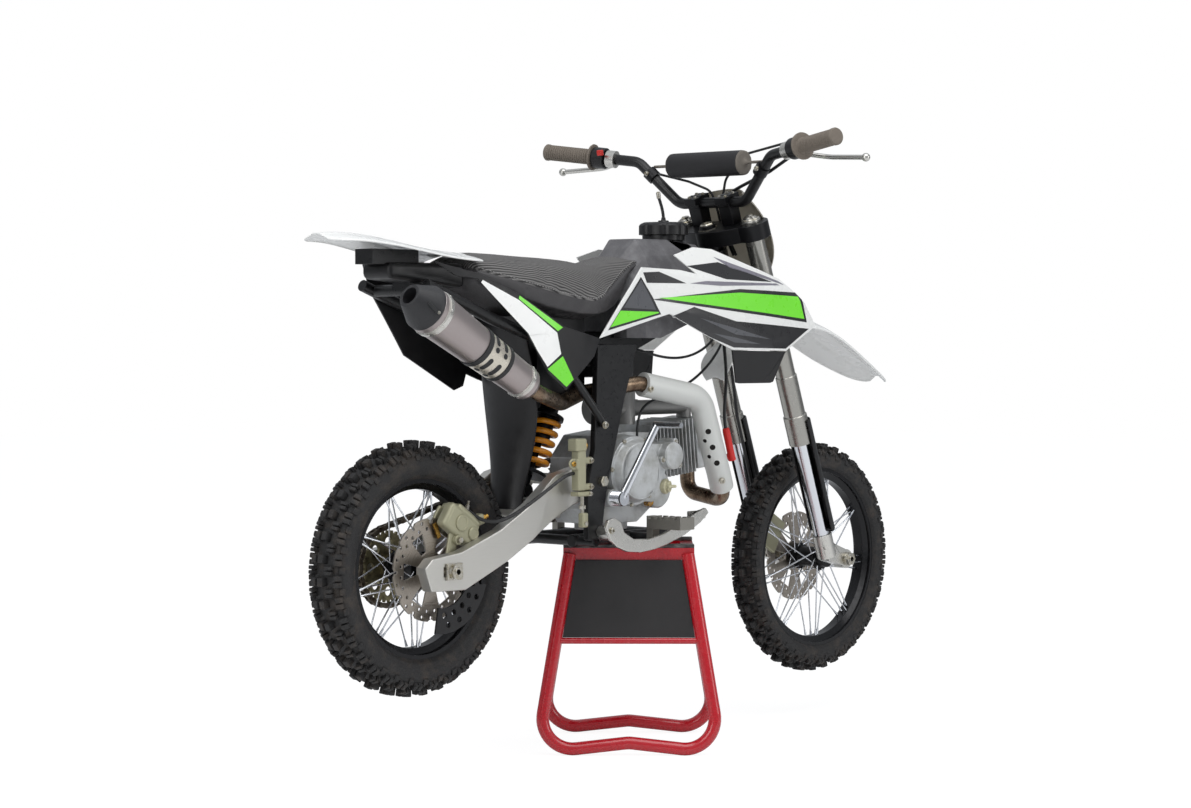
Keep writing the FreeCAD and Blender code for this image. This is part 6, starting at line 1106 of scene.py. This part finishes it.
# Body panels
# Thin injection moulded panels: white shrouds and fenders, black wings and side plates, and a
# smoky number plate. Laminated strips of green, grey and black film decorate the white.
# Glossy white polypropylene with faint waves from the mould.
white_moulding = finish("white_moulded_plastic", "e6e6e3", roughness=0.28, Coat_Weight=0.2)
uneven(white_moulding, grain=30, low=0.22, high=0.36, relief=0.04)
eased("shrouds", 1.0, white_moulding)


RIDGE_SHARE = 0.36


def fender(node, body, ridge, stations):
    """A thin fender over stations of (x, half width, top, drop of its sides) in mm, with a raised middle."""
    # Over the width: the share of the half width, and the share of the drop.
    across = [(-1, 1.3), (-0.985, 1.02), (-0.9, 0.84), (-0.66, 0.42), (-0.42, 0.18)]
    across += [(-RIDGE_SHARE, 0.0), (0, 0)]
    across += [(-share, fall) for share, fall in reversed(across[:-1])]
    shape = bmesh.new()
    bmesh.ops.create_grid(shape, x_segments=len(stations) - 1, y_segments=len(across) - 1, size=1.0)
    for vert in shape.verts:
        x, half, top, drop = stations[round((vert.co.x + 1) / 2 * (len(stations) - 1))]
        share, fall = across[round((vert.co.y + 1) / 2 * (len(across) - 1))]
        lowered = 0 if abs(share) <= RIDGE_SHARE else ridge
        vert.co = Vector((x, half * share, top - lowered - drop * fall)) * MM
    sheet = placed(node, shape)
    wall = sheet.modifiers.new("wall", "SOLIDIFY")
    wall.thickness = 3 * MM
    wall.offset = -1
    sheet.modifiers.new("rounded", "SUBSURF").levels = 2
    bake(sheet)
    mounted(taken_up(sheet), node + "_shell", [white_moulding], body, "white_plastic", node, smooth=50)


fender("front_fender", "steering", 2.5, [
    (270, 22, 722, 4), (268, 32, 738, 7), (269, 39, 758, 11), (280, 44, 779, 15), (306, 49, 800, 18),
    (346, 52, 819, 18), (386, 54, 834, 18), (426, 59, 845, 19), (466, 65, 851, 19), (506, 72, 853, 20),
    (546, 77, 846, 20), (586, 79, 831, 20), (626, 79, 812, 20), (666, 75, 792, 20), (706, 69, 773, 19),
    (746, 59, 756, 19), (786, 48, 739, 18), (815, 34, 726, 14), (826, 18, 720, 8)])
fender("rear_fender", "root", 1.5, [
    (-830, 30, 994, 8), (-820, 43, 995, 11), (-785, 54, 997, 12), (-745, 64, 995, 12), (-705, 74, 990, 12),
    (-665, 81, 984, 12), (-625, 86, 977, 12), (-585, 88, 971, 12), (-545, 88, 967, 12), (-505, 85, 965, 12),
    (-484, 80, 964, 12)])
eased("shroud_wings", 1.0, moulded_black)
eased("side_plates", 1.0, moulded_black)

# A tail moulding under the rear fender narrows and rises to the back, and flat inner panels close
# the space between the seat and the side plates.
TAIL_FRONT, TAIL_LENGTH, TAIL_MIDDLE = -503, 182, 921
tail = bmesh.new()
block(tail, (TAIL_FRONT - TAIL_LENGTH / 2, 0, TAIL_MIDDLE), (TAIL_LENGTH, 100, 46), 11)
for vert in tail.verts:
    share = max(0, (TAIL_FRONT * MM - vert.co.x) / (TAIL_LENGTH * MM))
    vert.co.y *= 1 - 0.25 * share
    if vert.co.z < TAIL_MIDDLE * MM:
        vert.co.z += 16 * share * MM
mounted(tail, "tail_moulding", [moulded_black], "root", "black_plastic")
inner_panels = bmesh.new()
for side in (-64, 64):
    block(inner_panels, (-262, side, 772), (132, 3, 172), 1)
mounted(inner_panels, "inner_panels", [moulded_black], "root", "black_plastic")

# The number plate's thin plastic lets a little light through, greyed by dust.
smoky_plate = finish("smoky_translucent_plastic", "a8a294", roughness=0.4, Transmission_Weight=0.45)
uneven(smoky_plate, grain=10, low=0.34, high=0.5)
eased("number_plate", 1.0, smoky_plate)

# Two screws hold each shroud to the tank.
panel_screws = [((x, side * y, z), (0, side, 0), 4)
                for side in (1, -1) for x, y, z in ((96, 150, 905), (210, 165, 900))]
screwed("shroud_screws", "root", *panel_screws)


def film(name, node, material, slot, height, *strips):
    """Printed film on both sides of a panel: strips with convex (x, z) corners in mm, just off its faces."""
    shape = bmesh.new()
    for corners in strips:
        part = merged_copy(node)
        ring = [Vector((x, 0, z)) * MM for x, z in corners]
        middle = sum(ring, Vector()) / len(ring)
        for start, end in zip(ring, ring[1:] + ring[:1]):
            out = (end - start).cross(Vector(LEFT))
            if out.dot(start - middle) < 0:
                out.negate()
            bmesh.ops.bisect_plane(part, geom=part.verts[:] + part.edges[:] + part.faces[:], plane_co=start,
                                   plane_no=out, clear_outer=True)
        # Only the faces that look out to their own side bear film.
        inner = [face for face in part.faces
                 if face.normal.y * face.calc_center_median().y < 0.25 * abs(face.calc_center_median().y)]
        bmesh.ops.delete(part, geom=inner, context="FACES")
        part.normal_update()
        for vert in part.verts:
            vert.co += vert.normal * height * MM
        laid_in(shape, part)
    mounted(shape, name, [material], "root", slot)


def printed(name, colour):
    """Printed vinyl film under a clear gloss layer."""
    material = finish(name, colour, roughness=0.3, Coat_Weight=0.4, Coat_Roughness=0.08)
    uneven(material, grain=18, low=0.24, high=0.38)
    return material


# Strips and wedges of film run back along the shrouds and down the side plates. Each film has its
# own height, so that one lies over another.
green_film = printed("green_film", "74e22f")
film("shroud_black", "shrouds", printed("black_film", "161517"), "black_plastic", 0.3,
     [(-26, 847), (57, 813), (140, 786), (140, 838), (30, 866)],
     [(140, 786), (279, 783), (350, 823), (140, 838)],
     [(-78, 880), (344, 836), (326, 896), (150, 902)],
     [(-102, 932), (-60, 934), (10, 912), (-92, 912)],
     [(-192, 820), (-106, 926), (-76, 884), (-50, 852)],
     [(18, 946), (110, 955), (250, 917), (120, 921)])
film("shroud_green", "shrouds", green_film, "panel_plastic", 0.6,
     [(-60, 883), (336, 843), (320, 888), (150, 895)],
     [(-186, 826), (-160, 858), (-60, 856), (-58, 854)])
film("shroud_dark_grey", "shrouds", printed("dark_grey_film", "4b4c50"), "panel_plastic", 0.6,
     [(30, 850), (140, 812), (250, 800), (140, 824)],
     [(60, 822), (140, 796), (240, 791), (140, 806)],
     [(-152, 864), (-108, 918), (-80, 880), (-66, 860)])
film("shroud_grey", "shrouds", printed("grey_film", "77747e"), "panel_plastic", 0.3,
     [(-30, 906), (100, 908), (300, 898), (262, 914), (60, 917)],
     [(100, 966), (270, 919), (286, 911), (140, 944)])
film("side_plate_white", "side_plates", printed("white_film", "f1f1ee"), "white_plastic", 0.3,
     [(-518, 906), (-402, 810), (-332, 816), (-426, 877), (-512, 913)],
     [(-404, 811), (-356, 752), (-322, 776), (-332, 816)])
film("side_plate_green", "side_plates", green_film, "panel_plastic", 0.5,
     [(-356, 748), (-309, 714), (-290, 728), (-318, 772)],
     [(-426, 879), (-330, 819), (-318, 826), (-424, 885)])
